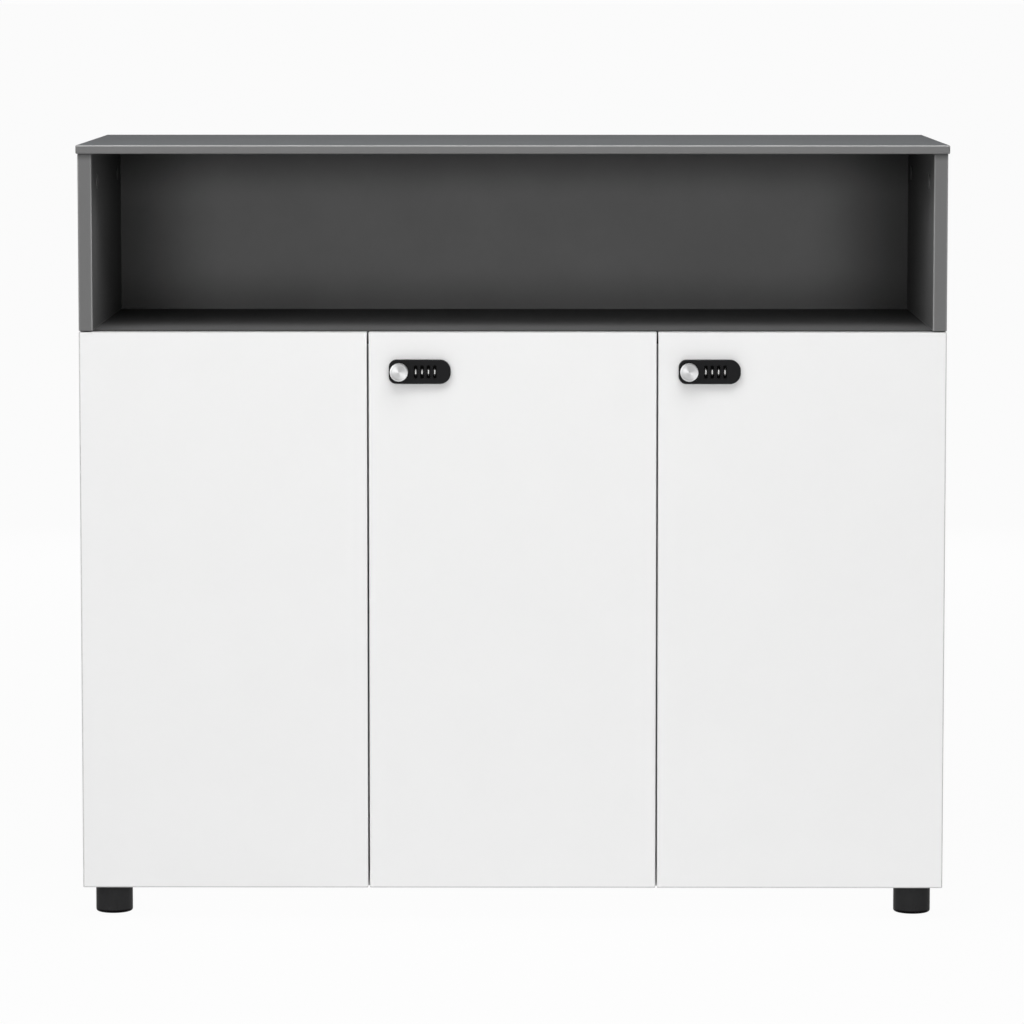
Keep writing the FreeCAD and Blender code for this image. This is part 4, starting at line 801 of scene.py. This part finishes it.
# %% Turned aluminium
RINGS_MAP = "rings"
RING_PITCH = 0.25 * MM
KNOB_GLOSS = (0.4, 0.5)
aluminium, tree, shader, place = new_finish("turned_aluminium", 0.44, Metallic=1.0, Anisotropic=0.85)
rings_map = add(tree, "ShaderNodeUVMap", uv_map=RINGS_MAP)
rings = add(tree, "ShaderNodeSeparateXYZ", {0: rings_map.outputs[0]})
outwards = add(tree, "ShaderNodeCombineXYZ", {0: rings.outputs["X"]})
ring_lines = add(tree, "ShaderNodeTexNoise",
                 {"Vector": outwards.outputs[0], "Scale": 1 / RING_PITCH, "Detail": 3.0}).outputs[0]
tint = add(tree, "ShaderNodeMix",
           {0: ring_lines, 6: linear("#d8d9da"), 7: linear("#f2f2f2")}, data_type="RGBA")
tree.links.new(tint.outputs[2], shader.inputs["Base Color"])
across = add(tree, "ShaderNodeTangent", direction_type="UV_MAP", uv_map=RINGS_MAP)
tree.links.new(across.outputs[0], shader.inputs["Tangent"])
knob_gloss = add(tree, "ShaderNodeMapRange",
                 {0: ring_lines, 1: NOISE_LOW, 2: NOISE_HIGH, 3: KNOB_GLOSS[0], 4: KNOB_GLOSS[1]})
tree.links.new(knob_gloss.outputs[0], shader.inputs["Roughness"])
print(f"rings every {RING_PITCH / MM:.2f} mm")

# %% The knob's cross section
SPINDLE = 4.0 * MM
SPINDLE_TIP = 3.0 * MM
TIP_LENGTH = 5.0 * MM
KNOB_CLEAR = 0.3 * MM
RIM = 1.0 * MM
DISH = 0.75 * MM
CONE_TIP = 0.1 * MM
TIP_RADIUS = 0.8 * MM
CHAMFER = 0.6 * MM


def knob_section(radius, front, rear, case_front):
    """Half the knob's cross section as distances from the axis and depths, from the rear to the face."""
    latch_rear = rear - TIP_LENGTH
    knob_back = case_front - KNOB_CLEAR
    face_radius = radius - CHAMFER - RIM - DISH / 2
    tip_depth = front + CONE_TIP + (DISH - CONE_TIP) * TIP_RADIUS / face_radius
    return [
        (0, rear), (SPINDLE_TIP, rear),
        (SPINDLE_TIP, latch_rear), (SPINDLE, latch_rear),
        (SPINDLE, knob_back), (radius - CHAMFER, knob_back),
        (radius, knob_back - CHAMFER), (radius, front + 2 * CHAMFER),
        (radius - CHAMFER / 3, front + CHAMFER / 3), (radius - CHAMFER, front),
        (radius - CHAMFER - RIM, front), (face_radius, front + DISH),
        (TIP_RADIUS, tip_depth), (0, front + CONE_TIP),
    ]


print(f"spindle {2 * SPINDLE / MM:.0f} mm, rim {RIM / MM:.1f} mm, face sunk {DISH / MM:.2f} mm")

# %% Knobs in place of the plain ones
KNOB_STEPS = 96
FLUTE_MARGIN = 0.14 * MM
FLUTE_SUNK = 0.18 * MM
MERGE_REACH = 0.001 * MM
POLE_REACH = 0.01 * MM
WALL_SHARE = 0.99
SHARP_ANGLE = math.radians(30)


def chart_rings(form, radius):
    """Maps each face with its first direction outwards from the middle, its second one round the axis."""
    chart = form.loops.layers.uv.new(RINGS_MAP)
    for face in form.faces:
        heart = face.calc_center_median()
        facing = math.atan2(heart.z, heart.x)
        for corner in face.loops:
            spot = corner.vert.co
            reach = math.hypot(spot.x, spot.z)
            swing = math.atan2(spot.z, spot.x) - facing if reach > POLE_REACH else 0
            swing = (swing + math.pi) % (2 * math.pi) - math.pi
            corner[chart].uv = (reach + spot.y, (facing + swing) * radius)


def turned_knob(name, low, high, case_front):
    """A knob spun about the middle of its node's box, with rim, coned face and fluted side."""
    radius = (high.x - low.x) / 2
    section = knob_section(radius, low.y, high.y, case_front)
    form = bmesh.new()
    line = [form.verts.new((distance, depth, 0)) for distance, depth in section]
    for first, second in zip(line, line[1:]):
        form.edges.new((first, second))
    bmesh.ops.spin(form, geom=form.verts[:] + form.edges[:], cent=(0, 0, 0), axis=(0, 1, 0),
                   angle=2 * math.pi, steps=KNOB_STEPS, use_merge=True)
    bmesh.ops.remove_doubles(form, verts=form.verts[:], dist=MERGE_REACH)
    bmesh.ops.recalc_face_normals(form, faces=form.faces[:])
    wall = [face for face in form.faces if abs(face.normal.y) < SLIGHT_TILT
            and face.calc_center_median().xz.length > radius * WALL_SHARE]
    bmesh.ops.inset_individual(form, faces=wall, thickness=FLUTE_MARGIN, depth=-FLUTE_SUNK)
    for face in form.faces:
        face.smooth = True
    chart_rings(form, radius)
    middle = (low + high) / 2
    bmesh.ops.translate(form, verts=form.verts[:], vec=(middle.x, 0, middle.z))
    knob = to_piece(form, name, aluminium)
    knob.data.set_sharp_from_angle(angle=SHARP_ANGLE)
    return knob


for door in LOCKED_DOORS:
    case_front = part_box(f"lock_case_{door}")[0].y
    knob = turned_knob(f"turned_knob_{door}", *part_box(f"knob_{door}"), case_front)
    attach(knob, f"{door}_knob")
    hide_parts(f"knob_{door}")
    print(f"{door} knob: {len(knob.data.polygons)} faces")

# %% [markdown]
# ## Sizes and the end
#
# The dressed cabinet must be no larger than its frame. Both boxes are written down for comparison.

# %% Write the sizes and finish
LOOK_LOW, LOOK_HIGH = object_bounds()
for label, size in (("frame", CAD_SIZE), ("look", LOOK_HIGH - LOOK_LOW)):
    print(f"{label} {size.x / MM:.1f} x {size.y / MM:.1f} x {size.z / MM:.1f} mm")
